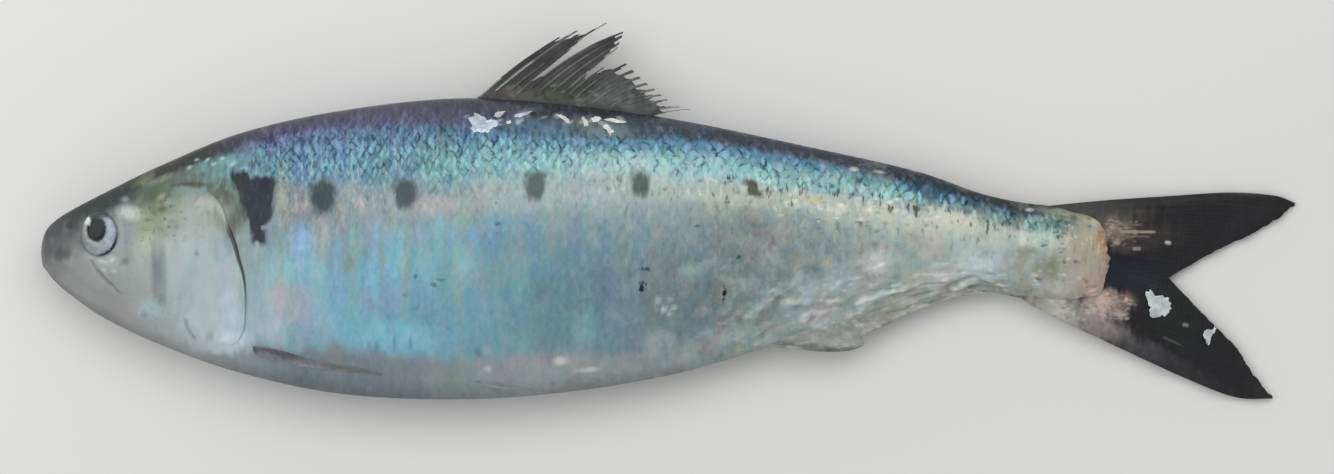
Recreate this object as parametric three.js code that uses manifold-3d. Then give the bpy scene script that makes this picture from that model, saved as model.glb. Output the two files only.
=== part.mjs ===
import * as THREE from "three";
import { mergeVertices } from "three/addons/utils/BufferGeometryUtils.js";
import Module from "manifold-3d";

// A whole raw shad, 170 mm long, lying limp on its right flank on a flat surface.
// x runs from the snout to the tail, y from the belly to the back, and z up through the left flank.
// The body is lofted straight and level first, the fins, gill covers and jaws are joined to it,
// and the fish is then let down on the surface, where its flank is pressed flat.

// Driving dimensions, in millimetres.
const totalLength = 170; // snout to the tip of the upper tail lobe
const finThickness = 0.45; // membrane with its slime, as a solid
const tailThickness = 0.55;
const gillCoverHeight = 0.4; // step from the cover's free edge down to the shoulder
const cheekHeight = 0.2;
const jawHeight = 0.3;
const foldedFinHeight = 0.45; // a folded fin's blade above the skin it lies on
const looseScaleHeight = 0.3;
const socketGap = 0.3; // between the eyeball and its socket

// As on a fish measurer's sheet, the shape tables below are in percent of the total length:
// "at" is the distance behind the snout, "height" is above the level of the snout's tip.
const pct = totalLength / 100;
const originAt = 50;
const originHeight = 3.15; // middle between the top of the dorsal fin and the lower tail tip

// The trunk's cross-section: round above its widest line, and drawn in to a keel along the belly.
const section = {
  widestShare: 0.55, // height of the widest line, as a share of the depth from the belly
  backFullness: 2.2,
  keelFullness: 1.7,
  keelPower: 0.72,
};
const bodySections = 66;
const snoutCrowding = 1.45; // draws the sections together towards the snout
const ringPoints = 34;

// The body's outline: at, back, belly, half width.
const bodyProfile = [
  [0.0, -0.1, -0.2, 0.05],
  [0.12, 0.79, -1.11, 0.45],
  [0.4, 1.58, -1.51, 0.75],
  [1.0, 2.26, -2.26, 1.05],
  [2.0, 2.97, -3.17, 1.4],
  [4.75, 4.44, -5.15, 2.2],
  [9.5, 6.74, -7.45, 3.2],
  [15.85, 9.31, -9.67, 4.1],
  [23.8, 11.09, -11.33, 4.7],
  [33.3, 12.08, -11.77, 4.9],
  [42.0, 11.55, -11.15, 4.7],
  [50.7, 10.34, -9.67, 4.15],
  [60.2, 8.4, -6.89, 3.25],
  [69.7, 6.26, -4.36, 2.2],
  [74.5, 4.6, -3.25, 1.7],
  [77.65, 3.88, -3.65, 1.4],
  [81.0, 3.45, -4.44, 1.05],
  [84.0, 2.85, -4.36, 0.65],
  [85.0, 2.22, -3.96, 0.4],
];
const bodyEnd = 85;

// Height of the fish's own middle plane above the surface: at, height.
// The thick trunk sinks a little into its own flesh, and the limp tail hangs down to the surface.
const restProfile = [
  [0, 3.5],
  [5, 3.75],
  [16, 4.3],
  [33, 4.5],
  [44, 4.4],
  [52, 3.93],
  [60, 3.2],
  [68, 2.6],
  [76, 1.95],
  [85, 1.15],
  [92, 0.75],
  [100, 0.5],
];
const finDroop = 0.035; // percent of drop for each squared percent that a fin stands out
const droopEndsAt = 77; // behind this the tail fin starts, which keeps its level

const eye = { at: 4.83, height: 1.27, halfLength: 1.5, halfHeight: 1.8, depth: 1.0, bulge: 0.3 };
const lens = { at: 4.62, height: 1.55, halfLength: 0.75, halfHeight: 0.95, depth: 0.22 };
const nostril = { at: 2.3, height: 2.0, radius: 0.28, depth: 0.3 };

// Outlines on the flank, each closed and rounded: at, height.
const gillCover = [
  [11.4, 4.7],
  [13.8, 4.35],
  [15.1, 1.9],
  [16.2, -2.1],
  [16.3, -6.2],
  [14.3, -7.9],
  [11.5, -7.6],
  [10.0, -4.75],
  [9.9, 0.8],
  [10.3, 3.2],
];
const cheek = [
  [7.0, 2.2],
  [7.9, 3.0],
  [9.1, 2.4],
  [9.8, -1.6],
  [8.9, -5.4],
  [7.3, -6.0],
  [6.0, -5.2],
  [7.0, -3.8],
];
const upperJaw = [
  [0.9, 0.4],
  [2.8, 0.3],
  [3.9, -0.5],
  [5.15, -2.45],
  [6.5, -3.3],
  [5.9, -3.75],
  [4.3, -3.0],
  [2.5, -1.8],
  [1.1, -0.9],
];
const pectoralFin = [
  [16.8, -7.55],
  [19.4, -7.75],
  [25.3, -9.2],
  [27.6, -9.85],
  [24.9, -9.7],
  [19.4, -8.9],
  [17.2, -8.3],
];
const pelvicFin = [
  [34.4, -10.25],
  [36.5, -10.45],
  [39.2, -11.0],
  [36.1, -11.1],
  [34.6, -10.75],
];
const looseScales = [
  [
    [87.9, -3.35],
    [89.3, -3.7],
    [89.8, -4.45],
    [89.3, -5.25],
    [88.2, -4.95],
  ],
  [
    [92.4, -7.0],
    [93.0, -5.8],
    [93.4, -6.3],
    [92.7, -7.4],
  ],
];

// The dorsal fin's rays stand in three groups, with the membrane torn between them.
const dorsalFin = {
  firstRoot: [34.55, 11.5],
  lastRoot: [48.35, 10.2],
  tips: [
    [38.2, 15.05],
    [42.2, 17.4],
    [44.95, 18.05],
    [42.4, 15.95],
    [43.6, 16.35],
    [46.3, 17.3],
    [45.95, 16.75],
    [45.6, 15.95],
    [44.45, 14.7],
    [46.45, 14.9],
    [47.1, 14.3],
    [47.4, 13.75],
    [47.9, 13.4],
    [48.65, 12.95],
    [49.05, 12.4],
    [49.5, 11.95],
    [50.1, 11.5],
    [51.4, 11.25],
  ],
  webShare: 0.93, // how far up the rays the membrane reaches
  frayedWebShare: 0.78,
  tornWebs: { 3: 0.36, 8: 0.6 }, // by the number of the gap
  firstFrayed: 9,
  rootDepth: 0.15, // how deep the fin's root goes on into the back, as a share of its height
  rootRadius: 0.32,
  tipRadius: 0.2,
};

// The tail fin's margin, round the upper lobe, into the fork and round the lower lobe.
const tailMargin = {
  upperEdge: [
    [77.4, 3.3],
    [84.0, 3.96],
    [90.3, 4.4],
    [94.7, 4.64],
    [98.3, 4.36],
    [100.0, 3.72],
  ],
  upperTrailing: [
    [100.0, 3.72],
    [97.5, 1.9],
    [93.1, -0.25],
    [89.7, -2.15],
  ],
  lowerTrailing: [
    [89.7, -2.15],
    [91.9, -4.45],
    [95.1, -7.7],
    [96.85, -10.3],
    [98.2, -11.8],
  ],
  lowerEdge: [
    [98.2, -11.8],
    [95.1, -11.7],
    [91.1, -10.2],
    [84.8, -7.3],
    [79.2, -4.6],
    [77.0, -3.2],
  ],
};
const tailRays = {
  upperRoots: [
    [82.5, 3.0],
    [84.0, -0.4],
  ],
  lowerRoots: [
    [84.0, -1.2],
    [82.5, -4.4],
  ],
  perLobe: 9,
  reach: 0.94, // how near a ray comes to the margin
  upperEdgeRay: [
    [79.0, 3.5],
    [97.0, 4.25],
  ],
  lowerEdgeRay: [
    [80.0, -4.7],
    [95.5, -11.45],
  ],
  rootRadius: 0.5,
  tipRadius: 0.26,
};

const analFin = {
  margin: [
    [57.7, -7.3],
    [59.4, -7.7],
    [61.8, -8.0],
    [64.0, -7.96],
    [65.3, -7.45],
    [65.15, -6.85],
    [65.7, -6.5],
    [67.0, -5.95],
    [68.6, -5.1],
    [70.5, -4.4],
    [72.9, -3.65],
    [75.3, -3.4],
  ],
  rootInset: 0.9, // the fin's root lies this far inside the belly line
  rays: 15,
  reach: 0.93,
  frontLean: 3.4, // how far the first ray's root lies ahead of its tip, and the last one's
  rearLean: 0.8,
  rootRadius: 0.34,
  tipRadius: 0.24,
};

const skinColour = "#8fa1a6";
const irisColour = "#a9b0b4";
const skinFinish = { color: skinColour, roughness: 0.35, metalness: 0.15 };
const eyeFinish = { color: irisColour, roughness: 0.12, metalness: 0.1 };

const wasm = await Module();
wasm.setup();

// Smooth curve through [at, ...values] rows: a cubic whose slopes come from the neighbouring rows.
function smooth(rows, at, column = 1) {
  const last = rows.length - 1;
  let i = 0;
  while (i < last - 1 && at > rows[i + 1][0]) i += 1;
  const slope = (j) => {
    const before = rows[Math.max(j - 1, 0)];
    const after = rows[Math.min(j + 1, last)];
    return (after[column] - before[column]) / (after[0] - before[0]);
  };
  const span = rows[i + 1][0] - rows[i][0];
  const t = THREE.MathUtils.clamp((at - rows[i][0]) / span, 0, 1);
  const rise = rows[i + 1][column] - rows[i][column];
  const startBend = slope(i) * span - rise;
  const endBend = rise - slope(i + 1) * span;
  return rows[i][column] + rise * t + t * (1 - t) * ((1 - t) * startBend + t * endBend);
}

const backAt = (at) => smooth(bodyProfile, at, 1);
const bellyAt = (at) => smooth(bodyProfile, at, 2);
const widthAt = (at) => smooth(bodyProfile, at, 3);
const restAt = (at) => smooth(restProfile, at);

// Half thickness of the trunk as a share of its widest: "rise" goes from -1 at the keel to 1 at the back.
function flankShare(rise) {
  if (rise >= 0) return Math.sqrt(1 - rise ** section.backFullness);
  return (1 - (-rise) ** section.keelFullness) ** section.keelPower;
}

function halfWidthAt(at, height) {
  const belly = bellyAt(at);
  const widest = belly + section.widestShare * (backAt(at) - belly);
  const reach = height >= widest ? backAt(at) - widest : widest - belly;
  const rise = THREE.MathUtils.clamp((height - widest) / reach, -1, 1);
  return widthAt(at) * flankShare(rise);
}

function solidOf(geometry) {
  const bare = geometry.index ? geometry.toNonIndexed() : geometry.clone();
  bare.deleteAttribute("normal");
  bare.deleteAttribute("uv");
  const merged = mergeVertices(bare, 1e-4);
  return new wasm.Manifold(
    new wasm.Mesh({
      numProp: 3,
      vertProperties: merged.attributes.position.array,
      triVerts: new Uint32Array(merged.index.array),
    }),
  );
}

function geometryOf(solid) {
  const mesh = solid.getMesh();
  const geometry = new THREE.BufferGeometry();
  geometry.setAttribute("position", new THREE.BufferAttribute(mesh.vertProperties, 3));
  geometry.setIndex(new THREE.BufferAttribute(mesh.triVerts, 1));
  return geometry;
}

// The trunk and head as a loft of rings. "grow" swells its flanks, and half as much its back and belly.
function trunk(grow = 0) {
  const positions = [];
  for (let i = 1; i <= bodySections; i += 1) {
    const at = bodyEnd * (i / bodySections) ** snoutCrowding;
    const back = backAt(at) * pct + grow / 2;
    const belly = bellyAt(at) * pct - grow / 2;
    const halfWidth = widthAt(at) * pct + grow;
    const widest = belly + section.widestShare * (back - belly);
    for (let k = 0; k < ringPoints; k += 1) {
      const turn = (2 * Math.PI * k) / ringPoints;
      const rise = Math.sin(turn);
      const y = widest + rise * (rise >= 0 ? back - widest : widest - belly);
      positions.push(at * pct, y, Math.sign(Math.cos(turn)) * halfWidth * flankShare(rise));
    }
  }
  const snout = positions.length / 3;
  positions.push(-grow / 2, backAt(0) * pct, 0);
  const end = snout + 1;
  positions.push(bodyEnd * pct + grow / 2, ((backAt(bodyEnd) + bellyAt(bodyEnd)) / 2) * pct, 0);

  const faces = [];
  for (let k = 0; k < ringPoints; k += 1) {
    const next = (k + 1) % ringPoints;
    faces.push(snout, k, next);
    for (let i = 0; i < bodySections - 1; i += 1) {
      const ring = i * ringPoints;
      const after = ring + ringPoints;
      faces.push(ring + k, after + k, ring + next);
      faces.push(ring + next, after + k, after + next);
    }
    const lastRing = (bodySections - 1) * ringPoints;
    faces.push(lastRing + k, end, lastRing + next);
  }
  const geometry = new THREE.BufferGeometry();
  geometry.setAttribute("position", new THREE.Float32BufferAttribute(positions, 3));
  geometry.setIndex(faces);
  return solidOf(geometry);
}

// A flat slab between two levels, with its outline given in percent.
function slab(outline, thickness) {
  const shape = new THREE.Shape(outline.map(([at, height]) => new THREE.Vector2(at * pct, height * pct)));
  const geometry = new THREE.ExtrudeGeometry(shape, { depth: thickness, bevelEnabled: false });
  geometry.translate(0, 0, -thickness / 2);
  return solidOf(geometry);
}

function rounded(outline, pointsPerStretch = 4) {
  const corners = outline.map(([at, height]) => new THREE.Vector3(at, height, 0));
  const curve = new THREE.CatmullRomCurve3(corners, true);
  return curve
    .getPoints(outline.length * pointsPerStretch)
    .slice(0, -1)
    .map((p) => [p.x, p.y]);
}

function curved(outline, count) {
  const curve = new THREE.SplineCurve(outline.map(([at, height]) => new THREE.Vector2(at, height)));
  return curve.getPoints(count).map((p) => [p.x, p.y]);
}

// A plate that follows both flanks: the part of a swollen trunk that lies behind an outline.
function plate(outline, height) {
  return trunk(height).intersect(slab(rounded(outline), totalLength));
}

function ray(root, tip, rootRadius, tipRadius) {
  const along = new THREE.Vector2(tip[0] - root[0], tip[1] - root[1]).multiplyScalar(pct);
  const geometry = new THREE.CylinderGeometry(tipRadius, rootRadius, along.length(), 6);
  geometry.rotateZ(along.angle() - Math.PI / 2);
  geometry.translate(((root[0] + tip[0]) / 2) * pct, ((root[1] + tip[1]) / 2) * pct, 0);
  return solidOf(geometry);
}

const between = (a, b, share) => [a[0] + (b[0] - a[0]) * share, a[1] + (b[1] - a[1]) * share];

function makeDorsalFin() {
  const { tips, firstRoot, lastRoot, rootDepth } = dorsalFin;
  const roots = tips.map((tip, i) => between(firstRoot, lastRoot, i / (tips.length - 1)));
  const pieces = tips.map((tip, i) => ray(roots[i], tip, dorsalFin.rootRadius, dorsalFin.tipRadius));
  for (let i = 0; i < tips.length - 1; i += 1) {
    const whole = i < dorsalFin.firstFrayed ? dorsalFin.webShare : dorsalFin.frayedWebShare;
    const share = dorsalFin.tornWebs[i] ?? whole;
    const upper = [between(roots[i + 1], tips[i + 1], share), between(roots[i], tips[i], share)];
    pieces.push(slab([roots[i], roots[i + 1], ...upper], finThickness));
  }
  const deepFirst = between(firstRoot, [firstRoot[0], 0], rootDepth);
  const deepLast = between(lastRoot, [lastRoot[0], 0], rootDepth);
  pieces.push(slab([firstRoot, deepFirst, deepLast, lastRoot], finThickness));
  return wasm.Manifold.union(pieces);
}

function makeTailFin() {
  const { upperEdge, upperTrailing, lowerTrailing, lowerEdge } = tailMargin;
  const margin = [
    ...curved(upperEdge, 12).slice(0, -1),
    ...curved(upperTrailing, 8).slice(0, -1),
    ...curved(lowerTrailing, 9).slice(0, -1),
    ...curved(lowerEdge, 13),
  ];
  const pieces = [slab(margin, tailThickness)];
  const { perLobe, reach, rootRadius, tipRadius } = tailRays;
  const lobes = [
    [tailRays.upperRoots, curved(upperTrailing, perLobe)],
    [tailRays.lowerRoots, curved(lowerTrailing, perLobe)],
  ];
  for (const [[firstRoot, lastRoot], tips] of lobes) {
    for (let i = 0; i < perLobe; i += 1) {
      const root = between(firstRoot, lastRoot, i / (perLobe - 1));
      const tip = between(root, between(tips[i], tips[i + 1], 0.5), reach);
      pieces.push(ray(root, tip, rootRadius, tipRadius));
    }
  }
  for (const [root, tip] of [tailRays.upperEdgeRay, tailRays.lowerEdgeRay]) {
    pieces.push(ray(root, tip, rootRadius, tipRadius));
  }
  return wasm.Manifold.union(pieces);
}

function makeAnalFin() {
  const margin = curved(analFin.margin, 30);
  const roots = [];
  const rootSteps = 6;
  for (let i = 0; i <= rootSteps; i += 1) {
    const at = THREE.MathUtils.lerp(margin[margin.length - 1][0], margin[0][0], i / rootSteps);
    roots.push([at, bellyAt(at) + analFin.rootInset]);
  }
  const pieces = [slab([...margin, ...roots], finThickness)];
  for (let i = 0; i < analFin.rays; i += 1) {
    const share = (i + 0.5) / analFin.rays;
    const tip = margin[Math.round(share * (margin.length - 1))];
    const rootAt = tip[0] - THREE.MathUtils.lerp(analFin.frontLean, analFin.rearLean, share);
    const root = [rootAt, bellyAt(rootAt) + analFin.rootInset / 2];
    pieces.push(ray(root, between(root, tip, analFin.reach), analFin.rootRadius, analFin.tipRadius));
  }
  return wasm.Manifold.union(pieces);
}

// An egg-shaped solid with its long axes in the flank.
function egg(form, grow, level) {
  const geometry = new THREE.SphereGeometry(1, 18, 10);
  geometry.rotateX(Math.PI / 2);
  geometry.scale(form.halfLength * pct + grow, form.halfHeight * pct + grow, form.depth * pct + grow);
  geometry.translate(form.at * pct, form.height * pct, level);
  return solidOf(geometry);
}

const eyeLevel = (halfWidthAt(eye.at, eye.height) - eye.depth + eye.bulge) * pct;
const lensLevel = eyeLevel + (eye.depth - lens.depth * 0.45) * pct;

function makeEye(side) {
  return egg(eye, 0, side * eyeLevel).add(egg(lens, 0, side * lensLevel));
}

function makeNostril(side) {
  const radius = nostril.radius * pct;
  const geometry = new THREE.CylinderGeometry(radius, radius, nostril.depth * pct * 2, 8);
  geometry.rotateX(Math.PI / 2);
  const level = side * halfWidthAt(nostril.at, nostril.height) * pct;
  geometry.translate(nostril.at * pct, nostril.height * pct, level);
  return solidOf(geometry);
}

function makeFish() {
  let fish = trunk();
  fish = fish.add(plate(gillCover, gillCoverHeight));
  fish = fish.add(plate(cheek, cheekHeight));
  fish = fish.add(plate(upperJaw, jawHeight));
  fish = fish.add(plate(pectoralFin, foldedFinHeight));
  fish = fish.add(plate(pelvicFin, foldedFinHeight));
  for (const side of [1, -1]) {
    fish = fish.subtract(egg(eye, socketGap, side * eyeLevel));
    fish = fish.subtract(makeNostril(side));
  }
  fish = fish.add(makeDorsalFin());
  fish = fish.add(makeAnalFin());
  let tail = makeTailFin();
  for (const outline of looseScales) {
    const scale = slab(rounded(outline, 3), looseScaleHeight);
    tail = tail.add(scale.translate([0, 0, tailThickness / 2]));
  }
  return fish.add(tail);
}

// How far a point of the level fish is raised when it lies on the surface.
function restLevel(at, height) {
  const beyond = at < droopEndsAt ? Math.max(0, height - backAt(at), bellyAt(at) - height) : 0;
  return (restAt(at) - finDroop * beyond ** 2) * pct;
}

function settled(solid) {
  const geometry = geometryOf(solid);
  const position = geometry.attributes.position;
  for (let i = 0; i < position.count; i += 1) {
    const at = position.getX(i) / pct;
    const height = position.getY(i) / pct;
    position.setZ(i, position.getZ(i) + restLevel(at, height));
  }
  const ground = new THREE.BoxGeometry(2 * totalLength, 2 * totalLength, totalLength);
  ground.translate(totalLength / 2, 0, -totalLength / 2);
  const resting = geometryOf(solidOf(geometry).subtract(solidOf(ground)));
  resting.translate(-originAt * pct, -originHeight * pct, 0);
  resting.computeVertexNormals();
  return resting;
}

const shad = new THREE.Group();

const fishMesh = new THREE.Mesh(settled(makeFish()), new THREE.MeshStandardMaterial(skinFinish));
fishMesh.name = "fish";
shad.add(fishMesh);

for (const [name, side] of [["eye_left", 1], ["eye_right", -1]]) {
  const eyeMesh = new THREE.Mesh(settled(makeEye(side)), new THREE.MeshStandardMaterial(eyeFinish));
  eyeMesh.name = name;
  shad.add(eyeMesh);
}

export default shad;
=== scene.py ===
import math

import bpy
import numpy as np
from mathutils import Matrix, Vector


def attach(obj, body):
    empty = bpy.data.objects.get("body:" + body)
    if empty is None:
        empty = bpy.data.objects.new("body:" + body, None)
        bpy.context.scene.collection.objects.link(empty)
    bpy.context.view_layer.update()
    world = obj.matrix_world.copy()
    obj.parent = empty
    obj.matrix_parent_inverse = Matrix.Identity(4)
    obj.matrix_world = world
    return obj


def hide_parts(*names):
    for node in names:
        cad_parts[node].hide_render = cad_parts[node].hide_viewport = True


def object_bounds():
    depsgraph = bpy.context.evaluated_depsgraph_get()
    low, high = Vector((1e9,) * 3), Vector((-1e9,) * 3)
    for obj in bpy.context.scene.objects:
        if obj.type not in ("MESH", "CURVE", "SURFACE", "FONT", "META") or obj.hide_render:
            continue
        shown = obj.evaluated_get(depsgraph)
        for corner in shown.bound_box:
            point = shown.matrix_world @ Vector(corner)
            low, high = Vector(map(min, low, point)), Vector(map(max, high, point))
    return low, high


# A raw young shad lying on its right flank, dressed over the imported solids.
# x runs from snout to tail, y from belly to back, z up out of the flank that shows.

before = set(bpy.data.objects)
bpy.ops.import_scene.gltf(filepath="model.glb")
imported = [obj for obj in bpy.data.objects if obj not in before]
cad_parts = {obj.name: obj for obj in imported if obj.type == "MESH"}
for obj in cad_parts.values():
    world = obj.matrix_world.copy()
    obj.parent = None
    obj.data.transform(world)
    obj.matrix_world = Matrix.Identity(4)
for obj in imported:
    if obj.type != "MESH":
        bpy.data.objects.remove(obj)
bpy.ops.object.select_all(action="DESELECT")
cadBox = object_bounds()
print("frame loaded")

pct = (cadBox[1].x - cadBox[0].x) / 100  # one percent of the fish's length, in metres
mm = 0.001
clearance = 0.02 * mm  # what the gill covers and the folded fins keep above the surface

# The body's form, as in the solids: percent of the length behind the snout, then heights above the snout
bodyForm = {
    "originAt": 50,
    "originHeight": 3.15,
    "end": 85,
    "widestShare": 0.55,
    "backFullness": 2.2,
    "keelFullness": 1.7,
    "keelPower": 0.72,
    "profile": [  # at, back, belly, half width
        (0.0, -0.1, -0.2, 0.05),
        (0.12, 0.79, -1.11, 0.45),
        (0.4, 1.58, -1.51, 0.75),
        (1.0, 2.26, -2.26, 1.05),
        (2.0, 2.97, -3.17, 1.4),
        (4.75, 4.44, -5.15, 2.2),
        (9.5, 6.74, -7.45, 3.2),
        (15.85, 9.31, -9.67, 4.1),
        (23.8, 11.09, -11.33, 4.7),
        (33.3, 12.08, -11.77, 4.9),
        (42.0, 11.55, -11.15, 4.7),
        (50.7, 10.34, -9.67, 4.15),
        (60.2, 8.4, -6.89, 3.25),
        (69.7, 6.26, -4.36, 2.2),
        (74.5, 4.6, -3.25, 1.7),
        (77.65, 3.88, -3.65, 1.4),
        (81.0, 3.45, -4.44, 1.05),
        (84.0, 2.85, -4.36, 0.65),
        (85.0, 2.22, -3.96, 0.4),
    ],
    "rest": [  # at, height of the fish's middle plane above the surface
        (0, 3.5),
        (5, 3.75),
        (16, 4.3),
        (33, 4.5),
        (44, 4.4),
        (52, 3.93),
        (60, 3.2),
        (68, 2.6),
        (76, 1.95),
        (85, 1.15),
        (92, 0.75),
        (100, 0.5),
    ],
    "finDroop": 0.035,
    "droopEndsAt": 77,
}


def smoothCurve(rows, at, column=1):  # cubic through the rows, with slopes from the neighbouring rows
    rows = np.array([[row[0], row[column]] for row in rows], float)
    xs, ys = rows[:, 0], rows[:, 1]
    slopes = np.empty(len(rows))
    slopes[1:-1] = (ys[2:] - ys[:-2]) / (xs[2:] - xs[:-2])
    slopes[0] = (ys[1] - ys[0]) / (xs[1] - xs[0])
    slopes[-1] = (ys[-1] - ys[-2]) / (xs[-1] - xs[-2])
    at = np.asarray(at, float)
    i = np.clip(np.searchsorted(xs, at, side="right") - 1, 0, len(rows) - 2)
    span = xs[i + 1] - xs[i]
    t = np.clip((at - xs[i]) / span, 0, 1)
    rise = ys[i + 1] - ys[i]
    startBend = slopes[i] * span - rise
    endBend = rise - slopes[i + 1] * span
    return ys[i] + rise * t + t * (1 - t) * ((1 - t) * startBend + t * endBend)


def backAt(at):
    return smoothCurve(bodyForm["profile"], at, 1)


def bellyAt(at):
    return smoothCurve(bodyForm["profile"], at, 2)


def widthAt(at):
    return smoothCurve(bodyForm["profile"], at, 3)


def flankShare(rise):  # half thickness as a share of its widest, from the keel (-1) to the back (1)
    rise = np.clip(rise, -1, 1)
    above = np.sqrt(1 - np.maximum(rise, 0) ** bodyForm["backFullness"])
    below = (1 - np.maximum(-rise, 0) ** bodyForm["keelFullness"]) ** bodyForm["keelPower"]
    return np.where(rise >= 0, above, below)


def riseAt(at, height):
    back, belly = backAt(at), bellyAt(at)
    widest = belly + bodyForm["widestShare"] * (back - belly)
    return (height - widest) / np.where(height >= widest, back - widest, widest - belly)


def restLevel(at, height):
    beyond = np.maximum(0, np.maximum(height - backAt(at), bellyAt(at) - height))
    beyond = np.where(np.asarray(at) < bodyForm["droopEndsAt"], beyond, 0)
    return smoothCurve(bodyForm["rest"], at) - bodyForm["finDroop"] * beyond**2


def inFrame(at, height, level):  # percent of the length to metres; level is above the middle plane
    x = (at - bodyForm["originAt"]) * pct
    y = (height - bodyForm["originHeight"]) * pct
    return np.stack([x, y, (restLevel(at, height) + level) * pct], axis=-1)


def easeStep(low, high, value):
    t = np.clip((value - low) / (high - low), 0, 1)
    return t * t * (3 - 2 * t)


def ontoFlank(at, height, lift, side):  # lift is in metres, square to the flank
    def surface(a, h):
        return inFrame(a, h, side * widthAt(a) * flankShare(riseAt(a, h)))

    step = 0.02
    point = surface(at, height)
    across = surface(at + step, height) - surface(at - step, height)
    upward = surface(at, height + step) - surface(at, height - step)
    normal = side * np.cross(across, upward)
    normal /= np.maximum(np.linalg.norm(normal, axis=-1, keepdims=True), 1e-12)
    return point + normal * np.asarray(lift)[..., None]


def lineDistance(at, height, points, closed=False):  # to the nearest of the line's stretches, in percent
    corners = [np.array(point, float) for point in points]
    ends = corners[1:] + corners[:1] if closed else corners[1:]
    nearest = np.full(np.shape(at), 1e9)
    for start, end in zip(corners, ends):
        run = end - start
        share = ((at - start[0]) * run[0] + (height - start[1]) * run[1]) / (run @ run)
        share = np.clip(share, 0, 1)
        gap = np.hypot(at - start[0] - share * run[0], height - start[1] - share * run[1])
        nearest = np.minimum(nearest, gap)
    return nearest


def insideOutline(at, height, points):  # distance inside a closed outline, negative outside it
    inside = np.zeros(np.shape(at), bool)
    for (x0, y0), (x1, y1) in zip(points, points[1:] + points[:1]):
        crosses = (y0 > height) != (y1 > height)
        inside ^= crosses & (at < x0 + (height - y0) * (x1 - x0) / ((y1 - y0) or 1e-9))
    return np.where(inside, 1, -1) * lineDistance(at, height, points, closed=True)


def roundedOutline(points, stretch=6):  # a closed curve through the points
    corners = np.array(points, float)
    before, after, beyond = (np.roll(corners, n, axis=0) for n in (1, -1, -2))
    curve = []
    for t in np.arange(stretch) / stretch:
        curve.append(
            0.5 * (2 * corners + (after - before) * t
                   + (2 * before - 5 * corners + 4 * after - beyond) * t**2
                   + (3 * corners - before - 3 * after + beyond) * t**3)
        )
    return [tuple(point) for point in np.stack(curve, axis=1).reshape(-1, 2)]


def alongLine(points, share):  # at and height of a smooth line through the points, by the share of its length
    corners = np.array(points, float)
    lengths = np.concatenate([[0], np.cumsum(np.hypot(*np.diff(corners, axis=0).T))])
    rows = [(length / lengths[-1], a, h) for length, (a, h) in zip(lengths, corners)]
    return np.stack([smoothCurve(rows, share, column) for column in (1, 2)])


def smoothLine(points, stretches=24):
    return [tuple(point) for point in alongLine(points, np.linspace(0, 1, stretches + 1)).T]


def placePoints(name, place):
    # names the new primitive; place(x, y, z) gives its points' places and what its material reads there
    piece = bpy.context.object
    piece.name = piece.data.name = name
    points = np.empty(len(piece.data.vertices) * 3)
    piece.data.vertices.foreach_get("co", points)
    placed, attributes = place(*points.reshape(-1, 3).T)
    piece.data.vertices.foreach_set("co", placed.astype(np.float32).ravel())
    for label, values in attributes.items():
        kind, key = {3: ("FLOAT_VECTOR", "vector"), 4: ("FLOAT_COLOR", "color")}[values.shape[1]]
        layer = piece.data.attributes.new(label, kind, "POINT")
        layer.data.foreach_set(key, np.asarray(values, np.float32).ravel())
    piece.data.update()
    return piece


def addGrid(name, across, upward, place):  # place(u, v) gets u and v from 0 to 1
    bpy.ops.object.select_all(action="DESELECT")
    bpy.ops.mesh.primitive_grid_add(x_subdivisions=across, y_subdivisions=upward, size=1)
    return placePoints(name, lambda x, y, _: place(x + 0.5, y + 0.5))


def applyModifiers(piece):
    bpy.context.view_layer.objects.active = piece
    for modifier in list(piece.modifiers):
        bpy.ops.object.modifier_apply(modifier=modifier.name)


def closeSheet(piece, turned, thickness):  # merges points that meet, faces it outwards and gives it a body
    bpy.ops.object.mode_set(mode="EDIT")
    bpy.ops.mesh.select_all(action="SELECT")
    bpy.ops.mesh.remove_doubles(threshold=1e-6)
    if turned:
        bpy.ops.mesh.flip_normals()
    bpy.ops.object.mode_set(mode="OBJECT")
    solidify = piece.modifiers.new("body", "SOLIDIFY")
    solidify.thickness = thickness
    solidify.offset = -1
    applyModifiers(piece)
    bpy.ops.object.shade_smooth()


def finishPiece(piece, material, node):
    piece.data.materials.clear()
    piece.data.materials.append(material)
    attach(piece, "root")
    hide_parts(node)


def linear(code):  # sRGB hex to the linear colour that Blender works in
    parts = [int(code[i : i + 2], 16) / 255 for i in (1, 3, 5)]
    return tuple(c / 12.92 if c <= 0.04045 else ((c + 0.055) / 1.055) ** 2.4 for c in parts) + (1.0,)


def addNode(tree, kind, inputs=None, out=0, stops=None, **settings):
    node = tree.nodes.new("ShaderNode" + kind)
    for name, value in settings.items():
        setattr(node, name, value)
    if stops:
        elements = node.color_ramp.elements
        elements.remove(elements[1])
        for i, (position, colour) in enumerate(stops):
            element = elements.new(position) if i else elements[0]
            element.position = position
            element.color = linear(colour) if isinstance(colour, str) else (colour, colour, colour, 1)
    for key, value in (inputs or {}).items():
        if isinstance(value, bpy.types.NodeSocket):
            tree.links.new(value, node.inputs[key])
        else:
            node.inputs[key].default_value = linear(value) if isinstance(value, str) else value
    return node.outputs[out] if node.outputs else node


def newMaterial(name):
    material = bpy.data.materials.new(name)
    material.use_nodes = True
    material.node_tree.nodes.clear()
    return material, material.node_tree


def layOver(tree, colour, source, begins, full, tint, bold=1.0, strength=1.0, blend="MIX"):
    # tints a colour where a value has passed the level begins, and fully where it has reached the level full
    cover = addNode(tree, "MapRange", {0: source, 1: begins, 2: full, 4: strength},
                    interpolation_type="SMOOTHSTEP")
    cover = addNode(tree, "Math", {0: cover, 1: bold}, operation="MULTIPLY")
    return addNode(tree, "Mix", {0: cover, 6: colour, 7: tint}, out=2, data_type="RGBA", blend_type=blend)


noiseSpan = {1: 0.3, 2: 0.7}  # most values of a noise lie between these


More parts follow.
